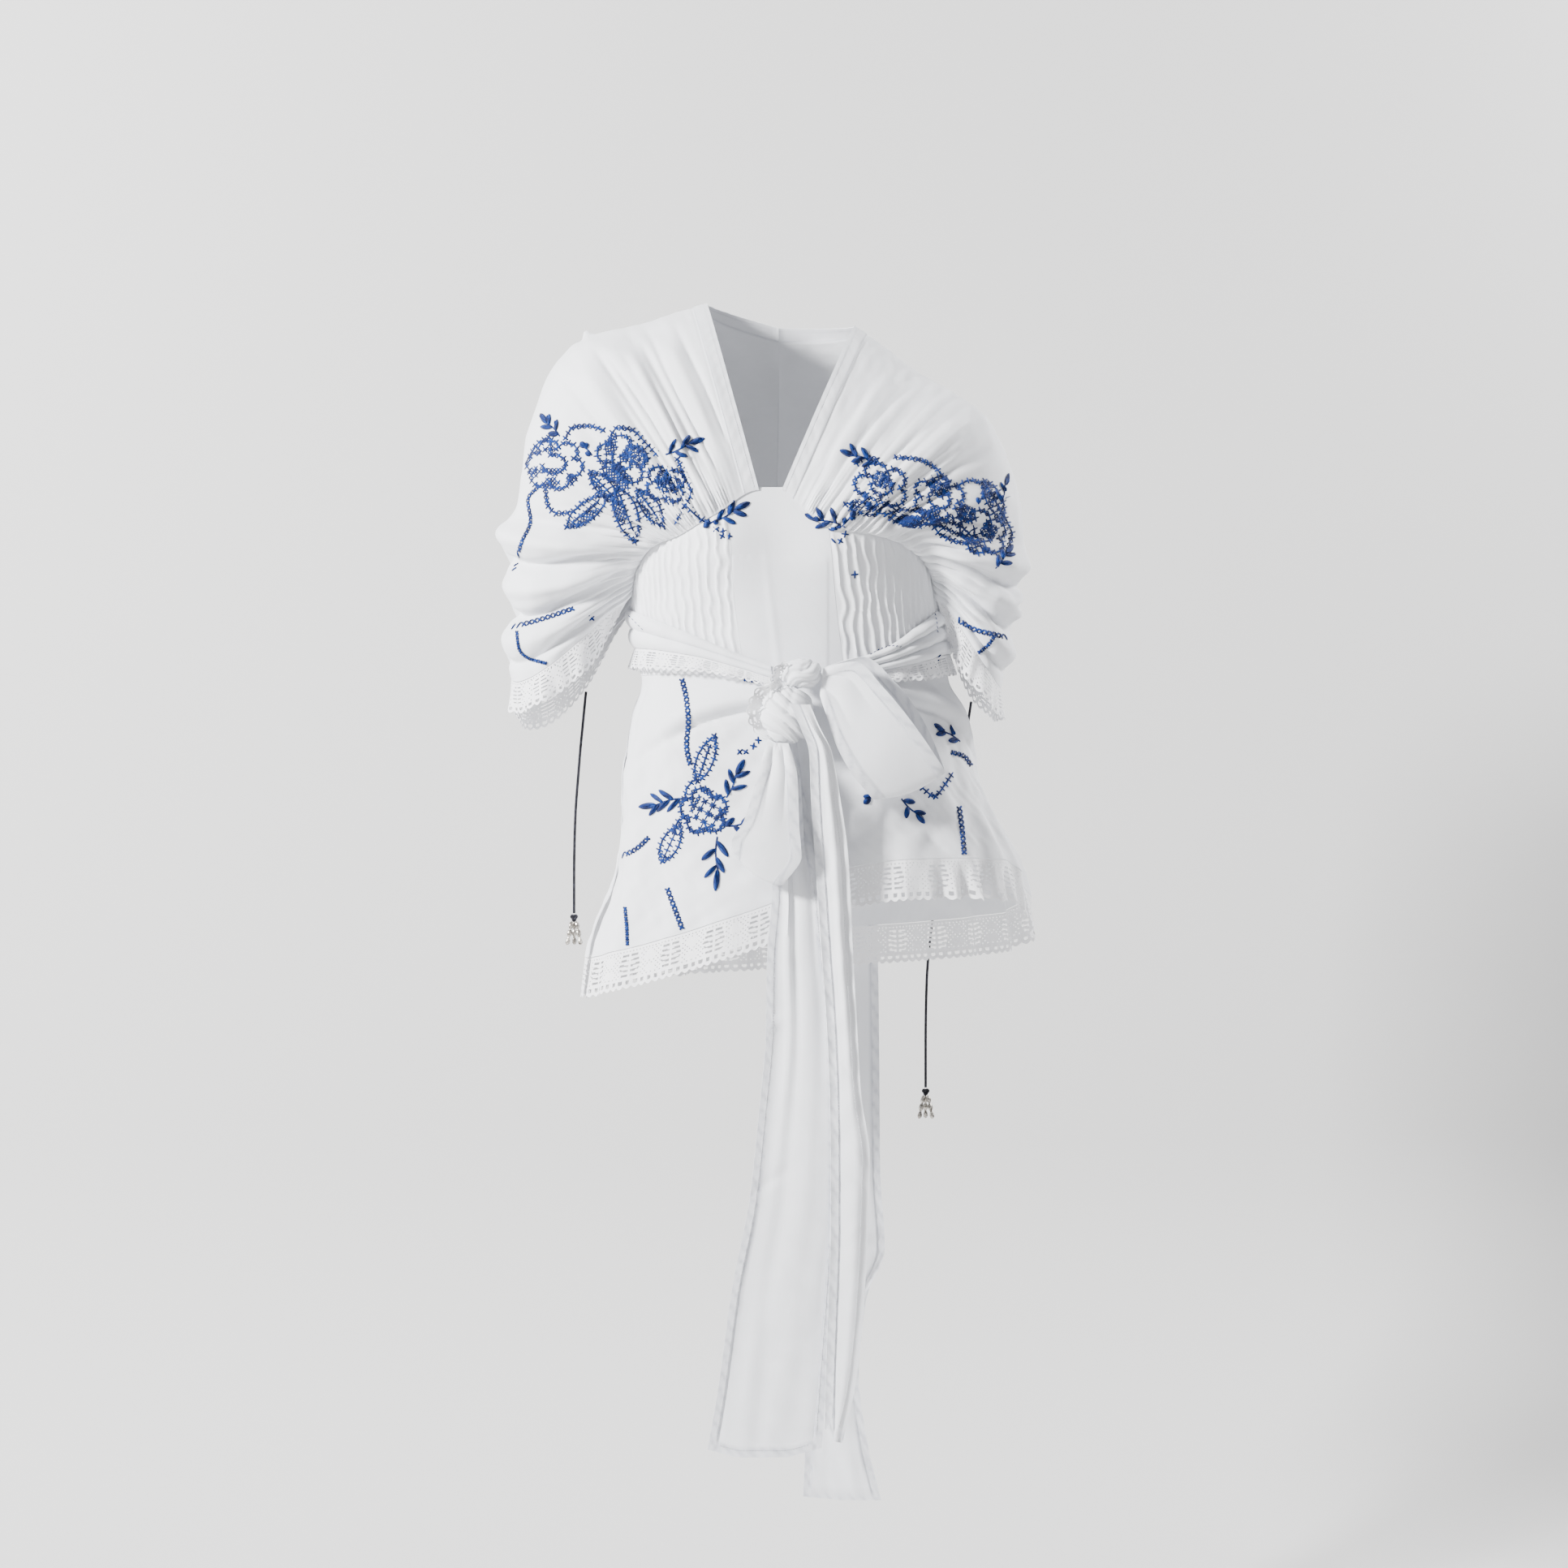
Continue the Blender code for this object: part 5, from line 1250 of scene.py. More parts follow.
def makeTail(name, tail):
    look = tailLook
    table = tail["rows"]
    hem = tail["hem"]
    z = np.linspace(table[0][0], table[-1][0], look["rows"])
    left, right, middle, depth = (read(table, k, z) for k in (1, 2, 3, 4))
    depth = depth * look["undulation"]
    widest = float((right - left).max())
    share = edgeSpaced(widest, hem + 2.0, look["fine"], look["coarse"])[None, :]
    width = (right - left)[:, None]
    x = left[:, None] + width * share
    y = middle[:, None] + depth[:, None] * np.sin(share * look["waves"] * math.pi + 0.4)
    low = fade(-z, -z[-1] - look["footLength"], -z[-1])[:, None]
    drop = low * np.interp(share, tail["foot"][0], tail["foot"][1])
    out = np.zeros(x.shape)
    wander = look["wander"] * np.sin(z / 90.0 + tail["seed"])[:, None]
    # the folds are deepest below the knot and flatten out towards the foot
    ease = 1 - look["flatten"] * fade(z[0] - z, look["flattenFrom"], look["flattenTo"])[:, None]
    for centre, reach, height in tail["folds"]:
        out = out + height * np.exp(-(((share - centre - wander) / reach) ** 2)) * ease
    for centre, over, reachZ, height, lean in tail["creases"]:
        line = z[:, None] - centre - lean * (x - left[:, None])
        nearby = np.exp(-(((share - over) / look["creaseWide"]) ** 2))
        out = out + height * np.exp(-((line / reachZ) ** 2)) * nearby
    # hems: double cloth, a sewn groove beside it, and slanting puckers along it
    fromLeft = share * width
    fromRight = (1 - share) * width
    fromFoot = np.broadcast_to((z - z[-1])[:, None], x.shape)
    edges = [fromLeft, fromFoot] if tail["oneHem"] else [fromLeft, fromRight, fromFoot]
    nearest = np.minimum.reduce(edges)
    groove = look["groove"] * np.exp(-(((nearest - hem - 0.4) / 1.1) ** 2))
    out = out + look["hemRise"] * (1 - fade(nearest, hem - 0.7, hem + 0.7)) - groove
    puckers = np.sin(z[:, None] * 0.86 + x * 0.8) + 0.6 * np.sin(z[:, None] * 0.41 + x * 0.8 + 1.0)
    out = out + look["pucker"] * puckers * (1 - fade(nearest, hem * 0.6, hem + 2.5))
    for k, (height, wide, steep, reach) in enumerate(look["crumples"]):
        out = out + height * ripple(x * wide, z[:, None] * steep, reach, tail["seed"] + k)
    out = out * fade(-z, -z[0], -z[0] + 40.0)[:, None]
    y = y + tail["facing"] * out
    points = np.stack(np.broadcast_arrays(x, y, z[:, None] + drop), axis=-1)
    # painted shade in the hems' groove and puckers, with the double cloth a little greyer
    grey = hemGreyAndShade(nearest, hem, z[:, None], x)
    return addCloth(name, points, linenFinish, [tail["node"]], hems=grey)


print("tying the bow")
bowLoop("bowLoopLeft", bow["leftLoop"], "bow_loop_left", 101)
bowLoop("bowLoopRight", bow["rightLoop"], "bow_loop_right", 103)
for name, tail in tails.items():
    makeTail(name, tail)


# sash knots, mm; turns is the count of windings and lean their slant
knots = {
    "knotLower": {
        "centre": (6.0, -129.7, -414.0), "half": (27.5, 21.0, 29.5), "turns": 1.9, "lean": 0.5,
        "node": "knot_lower",
    },
    "knotUpper": {
        "centre": (21.0, -130.0, -372.0), "half": (21.5, 18.0, 15.5), "turns": 1.4, "lean": -0.9,
        "node": "knot_upper",
    },
}
knotLook = {"rows": 76, "columns": 100, "base": 0.86, "ridge": 0.17, "fine": 0.045, "pinch": 0.05,
            "pole": 0.10}


def windKnot(name, look):
    # a pulled knot: cloth wound round itself, with deep uneven grooves
    rows, columns = knotLook["rows"], knotLook["columns"]
    x, y, z = look["centre"]
    halfX, halfY, halfZ = look["half"]
    polar = np.linspace(0.0, math.pi, rows)[:, None]
    around = np.linspace(0.0, 2 * math.pi, columns, endpoint=False)[None, :]
    dirX = np.sin(polar) * np.cos(around)
    dirY = np.sin(polar) * np.sin(around)
    dirZ = np.cos(polar) * np.ones_like(around)
    lean = look["lean"]
    lift = dirZ * math.cos(lean) + dirX * math.sin(lean)
    phase = look["turns"] * lift + around * 0.16 + 0.25 * np.sin(3.0 * dirX + 2.0 * dirZ)
    ridge = np.abs(np.sin(phase * math.pi)) ** 0.55
    pinch = knotLook["pinch"] * np.exp(-((dirX - 0.3 * dirZ) / 0.12) ** 2) * (dirZ > 0)
    fine = knotLook["fine"] * np.abs(np.sin(phase * math.pi * 3.0 + dirX * 3.0)) - pinch
    poles = 1.0 - knotLook["pole"] * np.exp(-((np.sin(polar) / 0.25) ** 2))
    size = (knotLook["base"] + knotLook["ridge"] * ridge + fine) * poles
    points = np.stack((x + halfX * dirX * size, y + halfY * dirY * size, z + halfZ * dirZ * size), axis=-1)
    vertices = points[1:-1].reshape(-1, 3)
    faces = []
    inner = rows - 2
    for i in range(inner - 1):
        for j in range(columns):
            k = (j + 1) % columns
            faces.append((i * columns + j, (i + 1) * columns + j, (i + 1) * columns + k, i * columns + k))
    top = len(vertices)
    vertices = np.concatenate((vertices, points[0, :1], points[-1, :1]))
    for j in range(columns):
        k = (j + 1) % columns
        faces.append((top, j, k))
        faces.append((top + 1, (inner - 1) * columns + k, (inner - 1) * columns + j))
    bearing = np.arctan2(vertices[:, 1] - y, vertices[:, 0] - x)
    uv = np.stack((bearing * 0.025, vertices[:, 2] * mm), axis=-1)
    item = newObject(name, vertices * mm, faces, linenFinish, uv)
    enrol(item, [look["node"]])
    return item


for name, look in knots.items():
    windKnot(name, look)

# cords: routes in mm, as in the CAD
cords = {
    "right": (
        (-205.6, 45.2, -387.6), (-208.0, 50.0, -410.0), (-213.0, 58.0, -460.0), (-218.0, 64.0, -530.0),
        (-219.0, 65.0, -580.0), (-219.0, 65.0, -622.0),
    ),
    "left": (
        (201.2, 54.0, -398.2), (199.0, 62.0, -415.0), (193.0, 86.0, -455.0), (184.0, 112.0, -505.0),
        (173.0, 136.0, -570.0), (162.0, 154.0, -640.0), (157.0, 160.0, -700.0), (156.0, 161.0, -760.0),
        (156.0, 161.0, -812.0),
    ),
    "diameter": 3.0,
    "spacing": 9.0,
    "knotRadius": 4.2,
    "charmHeight": 26.0,
    "charmSides": 20,
    "charmLean": 13.0,
    "charmOut": 2.6,
    "charmFacet": 0.06,
    "gap": 0.8,
    "lap": 1.1,
    # the trefoil's spread and depth as shares of knotRadius, its cord as a share of diameter
    "knotSpread": 0.26,
    "knotDepth": 0.3,
    "knotCord": 0.42,
    # each drop: share of its height, radius
    "charm": (
        (0.00, 0.01), (0.04, 1.2), (0.10, 2.2), (0.22, 2.5), (0.28, 1.9), (0.32, 1.2), (0.36, 1.2),
        (0.40, 2.0), (0.46, 2.6), (0.52, 2.7), (0.58, 2.4), (0.64, 1.4), (0.68, 1.1), (0.72, 1.5),
        (0.80, 2.3), (0.88, 2.4), (0.94, 2.0), (0.98, 1.1), (1.00, 0.01),
    ),
}


def curveThrough(points, count=40):
    knots = np.array(points, dtype=float)
    at = runLengths(knots)
    place = np.linspace(0.0, at[-1], count)
    return np.stack([smoothCurve(at, line, place) for line in knots.T], axis=-1)


def makeCharm(name, side, slot, end):
    bpy.ops.object.select_all(action="DESELECT")
    profile = [(radius, -share * cords["charmHeight"]) for share, radius in cords["charm"]]
    steps = cords["charmSides"]
    vertices = []
    faces = []
    for radius, drop in profile:
        for k in range(steps):
            turn = 2 * math.pi * k / steps
            facet = 1.0 + cords["charmFacet"] * math.cos(turn * 5)
            vertices.append((radius * facet * math.cos(turn), radius * facet * math.sin(turn), drop))
    for i in range(len(profile) - 1):
        for k in range(steps):
            n = (k + 1) % steps
            faces.append((i * steps + k, (i + 1) * steps + k, (i + 1) * steps + n, i * steps + n))
    faces.append(tuple(range(steps)))
    faces.append(tuple(reversed(range((len(profile) - 1) * steps, len(profile) * steps))))
    bearing = math.radians(90 + 120 * slot)
    lean = math.radians(cords["charmLean"])
    leanX = lean * math.sin(bearing)
    leanY = -lean * math.cos(bearing)
    rise = 2 * cords["knotRadius"] + cords["gap"] - cords["lap"]
    out = cords["charmOut"]
    shift = Vector((end[0] + out * math.cos(bearing), end[1] + out * math.sin(bearing), end[2] - rise))
    c, s = math.cos(leanX), math.sin(leanX)
    turnX = np.array([[1, 0, 0], [0, c, -s], [0, s, c]])
    c, s = math.cos(leanY), math.sin(leanY)
    turnY = np.array([[c, 0, s], [0, 1, 0], [-s, 0, c]])
    leaning = (np.array(vertices) @ turnX.T) @ turnY.T + np.array(shift)
    item = newObject(name, leaning * mm, faces, silver)
    return enrol(item, [f"charm_{side}_{slot + 1}"])


def roundCurve(name, path, radius, closed=False):
    # a round cord along points in mm
    curve = bpy.data.curves.new(name, "CURVE")
    curve.dimensions = "3D"
    curve.bevel_depth = radius * mm
    curve.bevel_resolution = 3
    curve.use_fill_caps = not closed
    spline = curve.splines.new("POLY")
    spline.points.add(len(path) - 1)
    spline.use_cyclic_u = closed
    for spot, point in zip(path, spline.points):
        point.co = (spot[0] * mm, spot[1] * mm, spot[2] * mm, 1.0)
    item = bpy.data.objects.new(name, curve)
    bpy.context.scene.collection.objects.link(item)
    return item


def makeCordKnot(name, side, end):
    # an overhand knot: a fat trefoil of the same cord
    radius = cords["knotRadius"]
    path = []
    steps = 60
    for k in range(steps):
        t = 2 * math.pi * k / steps
        px = (math.sin(t) + 2 * math.sin(2 * t)) * radius * cords["knotSpread"]
        pz = (math.cos(t) - 2 * math.cos(2 * t)) * radius * cords["knotSpread"]
        py = -math.sin(3 * t) * radius * cords["knotDepth"]
        path.append((end[0] + px, end[1] + py, end[2] - 0.3 - radius + pz))
    selectOnly(roundCurve(name, path, cords["diameter"] * cords["knotCord"], True))
    bpy.ops.object.convert(target="MESH")
    item = bpy.context.object
    item.data.materials.append(blackFinish)
    item.data.shade_smooth()
    return enrol(item, [f"cord_knot_{side}"])


def makeCord(side):
    table = cords[side]
    end = table[-1]
    steps = max(2, int(round(runLengths(np.array(table))[-1] / cords["spacing"])))
    points = curveThrough(table, steps + 1)
    item = roundCurve(f"cord{side.title()}", points, cords["diameter"] / 2)
    item.data.materials.append(blackFinish)
    knot = makeCordKnot(f"cordKnot{side.title()}", side, end)
    charms = [makeCharm(f"charm{side.title()}{slot + 1}", side, slot, end) for slot in range(3)]
    enrol(item, [f"cord_{side}"])
    return item


# scraps of the old lace edge stand out of both knots on their left side
def laceScrap(name, centre, reach, start, end, depth):
    count = 40
    turn = np.linspace(math.radians(start), math.radians(end), count)
    x, y, z = centre
    edge = (x - reach * np.cos(turn), y - 6.0 * np.sin(turn * 2.0), z + reach * 1.05 * np.sin(turn))
    edge = np.stack(edge, axis=-1)
    fall = np.stack((-np.cos(turn), -0.25 * np.ones(count), np.sin(turn)), axis=-1)
    out = np.stack((np.zeros(count), -2.5 + 2.5 * np.sin(turn * 9.0), np.zeros(count)), axis=-1)
    deep = depth * np.sin(np.linspace(0.25, math.pi - 0.25, count)) ** 0.6
    return laceStrip(name, edge, fall, deep, out, [], laceDepths["chart"])


laceScrap("laceScrapLower", (4.0, -139.0, -412.0), 25.0, -60.0, 75.0, 13.0)
laceScrap("laceScrapUpper", (16.0, -140.0, -378.0), 15.0, -70.0, 60.0, 11.0)

print("hanging the cords")
for side in ("right", "left"):
    makeCord(side)

# embroidery and sewing: threads laid on the cloth as the eye of a front view places them


# a stitch that would have to bridge a fold, steep beyond this, is left out; slack is in metres
threadLook = {"steep": 2.2, "slack": 0.001, "middle": 0.5, "round": 0.6}


class ThreadWork:
    def __init__(self, name, finish, slot, clothNames):
        self.name = name
        self.finish = finish
        self.slot = slot
        self.vertices = []
        self.faces = []
        self.trees = []
        for cloth in clothNames:
            mesh = bpy.data.objects[cloth].data
            corners = [v.co.copy() for v in mesh.vertices]
            self.trees.append(BVHTree.FromPolygons(corners, [tuple(p.vertices) for p in mesh.polygons]))

    def land(self, x, z, fromBack=False):
        best = None
        start = 1.0 if fromBack else -1.0
        for tree in self.trees:
            hit = tree.ray_cast(Vector((x * mm, start, z * mm)), Vector((0.0, -start, 0.0)))
            if hit[0] is None:
                continue
            if best is None or (hit[0].y < best[0].y) != fromBack:
                best = hit
        if best is None:
            return None
        normal = best[1] if best[1].y * start > 0 else -best[1]
        return best[0], normal

    def strand(self, path, radius, height, sides=4, taper=0.55):
        # a short raised thread along points already on the cloth, with the cloth's normals
        first = len(self.vertices)
        count = len(path)
        for k, (spot, normal) in enumerate(path):
            before = path[max(k - 1, 0)][0]
            after = path[min(k + 1, count - 1)][0]
            run = (after - before).normalized()
            side = run.cross(normal).normalized()
            share = k / (count - 1)
            size = taper + (1 - taper) * math.sin(math.pi * share) ** 0.6
            middle = spot + normal * height * threadLook["middle"]
            for s in range(sides):
                turn = 2 * math.pi * s / sides
                self.vertices.append(tuple(middle + side * radius * size * math.cos(turn)
                                           + normal * height * threadLook["round"] * size * math.sin(turn)))
        for k in range(count - 1):
            for s in range(sides):
                n = (s + 1) % sides
                a = first + k * sides
                self.faces.append((a + s, a + n, a + sides + n, a + sides + s))
        self.faces.append(tuple(first + s for s in reversed(range(sides))))
        self.faces.append(tuple(first + (count - 1) * sides + s for s in range(sides)))

    def stitch(self, x0, z0, x1, z1, width, height=0.7, pieces=3, fromBack=False, taper=0.55, bow=0.0):
        path = []
        for k in range(pieces):
            t = k / (pieces - 1)
            hit = self.land(x0 + (x1 - x0) * t, z0 + (z1 - z0) * t, fromBack)
            if hit is None:
                return
            path.append((hit[0] + hit[1] * bow * math.sin(math.pi * t) * mm, hit[1]))
        span = (path[0][0] - path[-1][0]).length
        flat = math.hypot(x1 - x0, z1 - z0) * mm
        if span > threadLook["steep"] * flat + threadLook["slack"]:
            return
        self.strand(path, width / 2 * mm, height * mm, taper=taper)

    def finishWork(self):
        return enrol(newObject(self.name, self.vertices, self.faces, self.finish))


stitchLook = {
    "pitch": 5.8, "arm": 3.7, "thread": 2.25, "satin": 6.8, "running": 0.7, "uneven": 0.12, "wideNet": 1.65,
    # packed crosses: pitch, arm, thread
    "dense": (3.9, 2.9, 1.9),
    # linked crosses: thread, height
    "chain": (2.6, 1.3),
}


def crossStitch(work, x, z, turn, arm=None, thread=None):
    arm = arm or stitchLook["arm"]
    thread = thread or stitchLook["thread"]
    for lean in (0.25 * math.pi, 0.75 * math.pi):
        way = turn + lean + dice.uniform(-stitchLook["uneven"], stitchLook["uneven"])
        reach = arm * dice.uniform(0.9, 1.1)
        dx = math.cos(way) * reach
        dz = math.sin(way) * reach
        work.stitch(x - dx, z - dz, x + dx, z + dz, thread, 0.75, bow=0.25, taper=0.7)


def runningStitch(work, x0, z0, x1, z1):
    work.stitch(x0, z0, x1, z1, stitchLook["thread"] * stitchLook["running"], 0.6, taper=0.9)


def crossesAlong(work, points, turn):
    # crosses at an even pitch down a line, joined by a running stitch
    spots = evenSpots(points, stitchLook["pitch"], 1)
    for k, (x, z) in enumerate(spots):
        crossStitch(work, x, z, turn)
        if k:
            before = spots[k - 1]
            runningStitch(work, before[0], before[1], x, z)


def densePatch(work, centre, reachX, reachZ, turn):
    # a shaded part: small crosses packed on the grid inside an oval
    pitch, arm, thread = stitchLook["dense"]
    c, s = math.cos(turn), math.sin(turn)
    countX = int(reachX / pitch) + 1
    countZ = int(reachZ / pitch) + 1
    for i in range(-countX, countX + 1):
        for j in range(-countZ, countZ + 1):
            u, v = i * pitch, j * pitch
            if (u / reachX) ** 2 + (v / reachZ) ** 2 > 1.0:
                continue
            crossStitch(work, centre[0] + u * c - v * s, centre[1] + u * s + v * c, turn, arm, thread)


def latticePatch(work, centre, reachX, reachZ, turn, wide=1.0):
    # an open part: a net of running thread with a cross where the threads meet
    pitch = stitchLook["pitch"] * wide
    c, s = math.cos(turn), math.sin(turn)
    middleU = round((centre[0] * c + centre[1] * s) / pitch)
    middleV = round((-centre[0] * s + centre[1] * c) / pitch)
    nodes = set()
    countX = int(reachX / pitch) + 1
    countZ = int(reachZ / pitch) + 1
    for i in range(-countX, countX + 1):
        for j in range(-countZ, countZ + 1):
            if (i * pitch / reachX) ** 2 + (j * pitch / reachZ) ** 2 <= 1.0:
                nodes.add((middleU + i, middleV + j))
    for u, v in sorted(nodes):
        x = (u * c - v * s) * pitch
        z = (u * s + v * c) * pitch
        crossStitch(work, x, z, turn)
        for du, dv in ((1, 0), (0, 1)):
            if (u + du, v + dv) in nodes:
                nextX = ((u + du) * c - (v + dv) * s) * pitch
                nextZ = ((u + du) * s + (v + dv) * c) * pitch
                runningStitch(work, x, z, nextX, nextZ)


def placed(points, centre, size, turn):
    line = np.array(points, dtype=float) * size
    c, s = math.cos(turn), math.sin(turn)
    x = line[:, 0] * c - line[:, 1] * s + centre[0]
    z = line[:, 0] * s + line[:, 1] * c + centre[1]
    return np.stack((x, z), axis=-1)


def rose(work, centre, size, turn, look):
    # an open rose: round petals, shaded below, and an inner cup; look says which parts are filled
    petals = look.get("petals", 5)
    squash = look.get("squash", 0.85)
    for p in range(petals):
        start = 2 * math.pi * p / petals + 0.3
        line = []
        for k in range(10):
            t = k / 9
            bearing = start + 2 * math.pi / petals * t
            reach = 0.70 + 0.30 * math.sin(math.pi * t) ** 0.6
            line.append((reach * math.cos(bearing), reach * math.sin(bearing) * squash))
        crossesAlong(work, placed(line, centre, size, turn), turn)
    if look.get("cup", True):
        cup = [(0.40 * math.cos(a), 0.38 * math.sin(a) * squash) for a in np.linspace(-3.0, 1.6, 16)]
        crossesAlong(work, placed(cup, centre, size, turn), turn)
    for kind, x, z, reachX, reachZ in look["fills"]:
        spot = placed([(x, z)], centre, size, turn)[0]
        if kind == "dense":
            densePatch(work, spot, reachX * size, reachZ * size, turn)
        else:
            wide = stitchLook["wideNet"] if kind == "wide" else 1.0
            latticePatch(work, spot, reachX * size, reachZ * size, turn, wide)


def bigLeaf(work, centre, size, turn, width=0.42, fill=None):
    upper = [(-1.0, 0.0), (-0.55, width * 0.8), (0.0, width), (0.55, width * 0.7), (1.0, 0.0)]
    lower = [(x, -z * 0.9) for x, z in upper]
    for side in (upper, lower):
        crossesAlong(work, placed(curveThrough(side), centre, size, turn), turn * 0.25)
    crossesAlong(work, placed([(-0.7, 0.0), (0.5, 0.04)], centre, size, turn), turn * 0.25)
    if fill:
        spot = placed([(-0.15, -width * 0.45)], centre, size, turn)[0]
        densePatch(work, spot, size * 0.5, size * 0.16, turn)


def satinLeaf(work, x0, z0, x1, z1, width):
    work.stitch(x0, z0, x1, z1, width, 1.7, pieces=8, taper=0.22, bow=0.2)
    for k in range(3):
        # a few threads of the satin stitch stand a little apart
        t = 0.25 + 0.2 * k
        lift = (k - 1) * width * 0.16
        dx, dz = x1 - x0, z1 - z0
        long = math.hypot(dx, dz)
        sx, sz = -dz / long * lift, dx / long * lift
        work.stitch(x0 + dx * (t - 0.2) + sx, z0 + dz * (t - 0.2) + sz, x0 + dx * (t + 0.22) + sx,
                    z0 + dz * (t + 0.22) + sz, 0.9, 3.2, pieces=4, taper=0.3)


def sprig(work, base, bearing, length, leaves, curl=0.25):
    # a stem with satin leaves on both sides and one at the tip
    width = stitchLook["satin"]
    spots = []
    for k in range(9):
        t = k / 8
        way = bearing + curl * (t - 0.5)
        reach = length * 0.62 * t
        spots.append((base[0] + math.cos(way) * reach, base[1] + math.sin(way) * reach))
    for a, b in zip(spots, spots[1:]):
        work.stitch(a[0], a[1], b[0], b[1], 1.9, 0.9, taper=0.9)

    def leafAt(spot, way, reach, wide):
        tip = (spot[0] + math.cos(way) * reach, spot[1] + math.sin(way) * reach)
        satinLeaf(work, *spot, *tip, wide)

    leafAt(spots[-1], bearing, length * 0.42, width)
    for k in range(leaves):
        spot = spots[int(round(8 * (0.18 + 0.72 * k / max(leaves - 1, 1))))]
        side = 1 if k % 2 == 0 else -1
        way = bearing + side * dice.uniform(0.6, 0.85)
        reach = length * dice.uniform(0.34, 0.42)
        leafAt(spot, way, reach, width * dice.uniform(0.75, 0.95))


def chainLine(work, points, pitch=5.8, width=5.2):
    # linked crosses, as round the old cloth's border
    spots = evenSpots(points, pitch, 2)
    for a, b in zip(spots, spots[1:]):
        run = (b - a) / max(np.linalg.norm(b - a), 1e-6)
        side = np.array([-run[1], run[0]]) * width / 2
        ends = (b - a) * 0.08
        for sign in (-1, 1):
            p = a + side * sign + ends
            q = b - side * sign - ends
            thread, height = stitchLook["chain"]
            work.stitch(p[0], p[1], q[0], q[1], thread, height, bow=0.3, taper=0.85)


def curved(kind):
    return lambda work, points, *values: kind(work, curveThrough(points), *values)


def scatter(work, spots, turn):
    for k, (x, z) in enumerate(spots):
        crossStitch(work, x, z, turn * k)


sewKinds = {
    "rose": rose, "leaf": bigLeaf, "dense": densePatch, "net": latticePatch, "sprig": sprig,
    "cross": crossStitch, "crosses": curved(crossesAlong), "chain": curved(chainLine),
    "straight": chainLine, "scatter": scatter,
}


def sewRows(work, rows):
    # each row is a kind of stitching and its values, sewn in order
    for kind, *values in rows:
        sewKinds[kind](work, *values)


print("stitching the flowers")
blueRight = ThreadWork("blueFlowersRight", blueFinish, "linen", ["capeRight", "bodicePanel", "tuckedRight"])
sewRows(blueRight, (
    ("rose", (-234.0, -155.0), 31.0, 0.0, {"petals": 6, "fills": (
        ("dense", -0.62, -0.22, 0.30, 0.13), ("dense", 0.02, -0.2, 0.27, 0.11),
        ("dense", -0.1, -0.62, 0.36, 0.15),
        ("dense", 0.62, -0.55, 0.22, 0.14), ("net", -0.2, 0.45, 0.34, 0.22))}),
    ("rose", (-163.0, -152.0), 28.0, -0.65, {"petals": 5, "fills": (
        ("net", 0.3, 0.3, 0.62, 0.36), ("dense", 0.1, -0.35, 0.66, 0.15), ("dense", -0.6, 0.1, 0.18, 0.36),
        ("dense", 0.0, 0.05, 0.16, 0.14))}),
    ("rose", (-118.0, -178.0), 22.0, -0.5, {"petals": 4, "fills": (
        ("dense", -0.1, 0.1, 0.30, 0.2), ("net", 0.1, 0.1, 0.75, 0.5), ("dense", 0.5, -0.5, 0.3, 0.14))}),
    ("leaf", (-199.0, -204.0), 27.0, 0.62, 0.36, True),
    ("leaf", (-159.0, -208.0), 29.0, -1.25, 0.42, True),
    ("leaf", (-134.0, -202.0), 23.0, -0.95, 0.4, True),
    ("leaf", (-182.0, -180.0), 21.0, -0.85, 0.4, True),
    ("dense", (-168.0, -170.0), 19.0, 5.2, -0.78),
    ("crosses", [(-222, -128), (-214, -117), (-198, -116), (-183, -121)], 0.0),
    ("crosses", [(-178, -134), (-168, -119), (-154, -121), (-140, -134), (-128, -146)], 0.0),
    ("crosses", [(-106, -152), (-98, -170), (-92, -188), (-100, -202), (-107, -216)], 0.0),
    ("crosses", [(-96, -200), (-86, -211), (-76, -216)], 0.0),
    ("crosses", [(-243, -180), (-241, -196), (-230, -206), (-217, -205), (-205, -196)], 0.0),
    ("crosses", [(-262, -150), (-254, -134), (-240, -126)], 0.0),
    ("sprig", (-228.0, -126.0), 2.2, 32.0, 4),
    ("sprig", (-118.0, -147.0), 0.32, 42.0, 4),
    ("sprig", (-68.0, -216.0), 0.42, 40.0, 4),
    ("sprig", (-64.0, -214.0), 3.5, 16.0, 2),
    ("sprig", (-194.0, -147.0), 2.2, 18.0, 2),
    ("scatter", ((-66, -224), (-60, -231), (-53, -231), (-59, -226)), 0.3),
    ("chain", [(-249, -176), (-262, -190), (-259, -212), (-268, -236), (-278, -264)], 5.0, 3.4),
    ("straight", [(-273, -168), (-270, -152), (-272, -134)], 4.6, 3.6),
    ("chain", [(-281, -322), (-262, -318), (-240, -312), (-214, -303)], 5.6, 5.0),
    ("chain", [(-274, -326), (-271, -346), (-258, -356), (-242, -360)], 5.0, 2.6),
    ("cross", -238.0, -360.0, 0.2),
    ("cross", -196.0, -313.0, 0.0),
))
blueRight.finishWork()

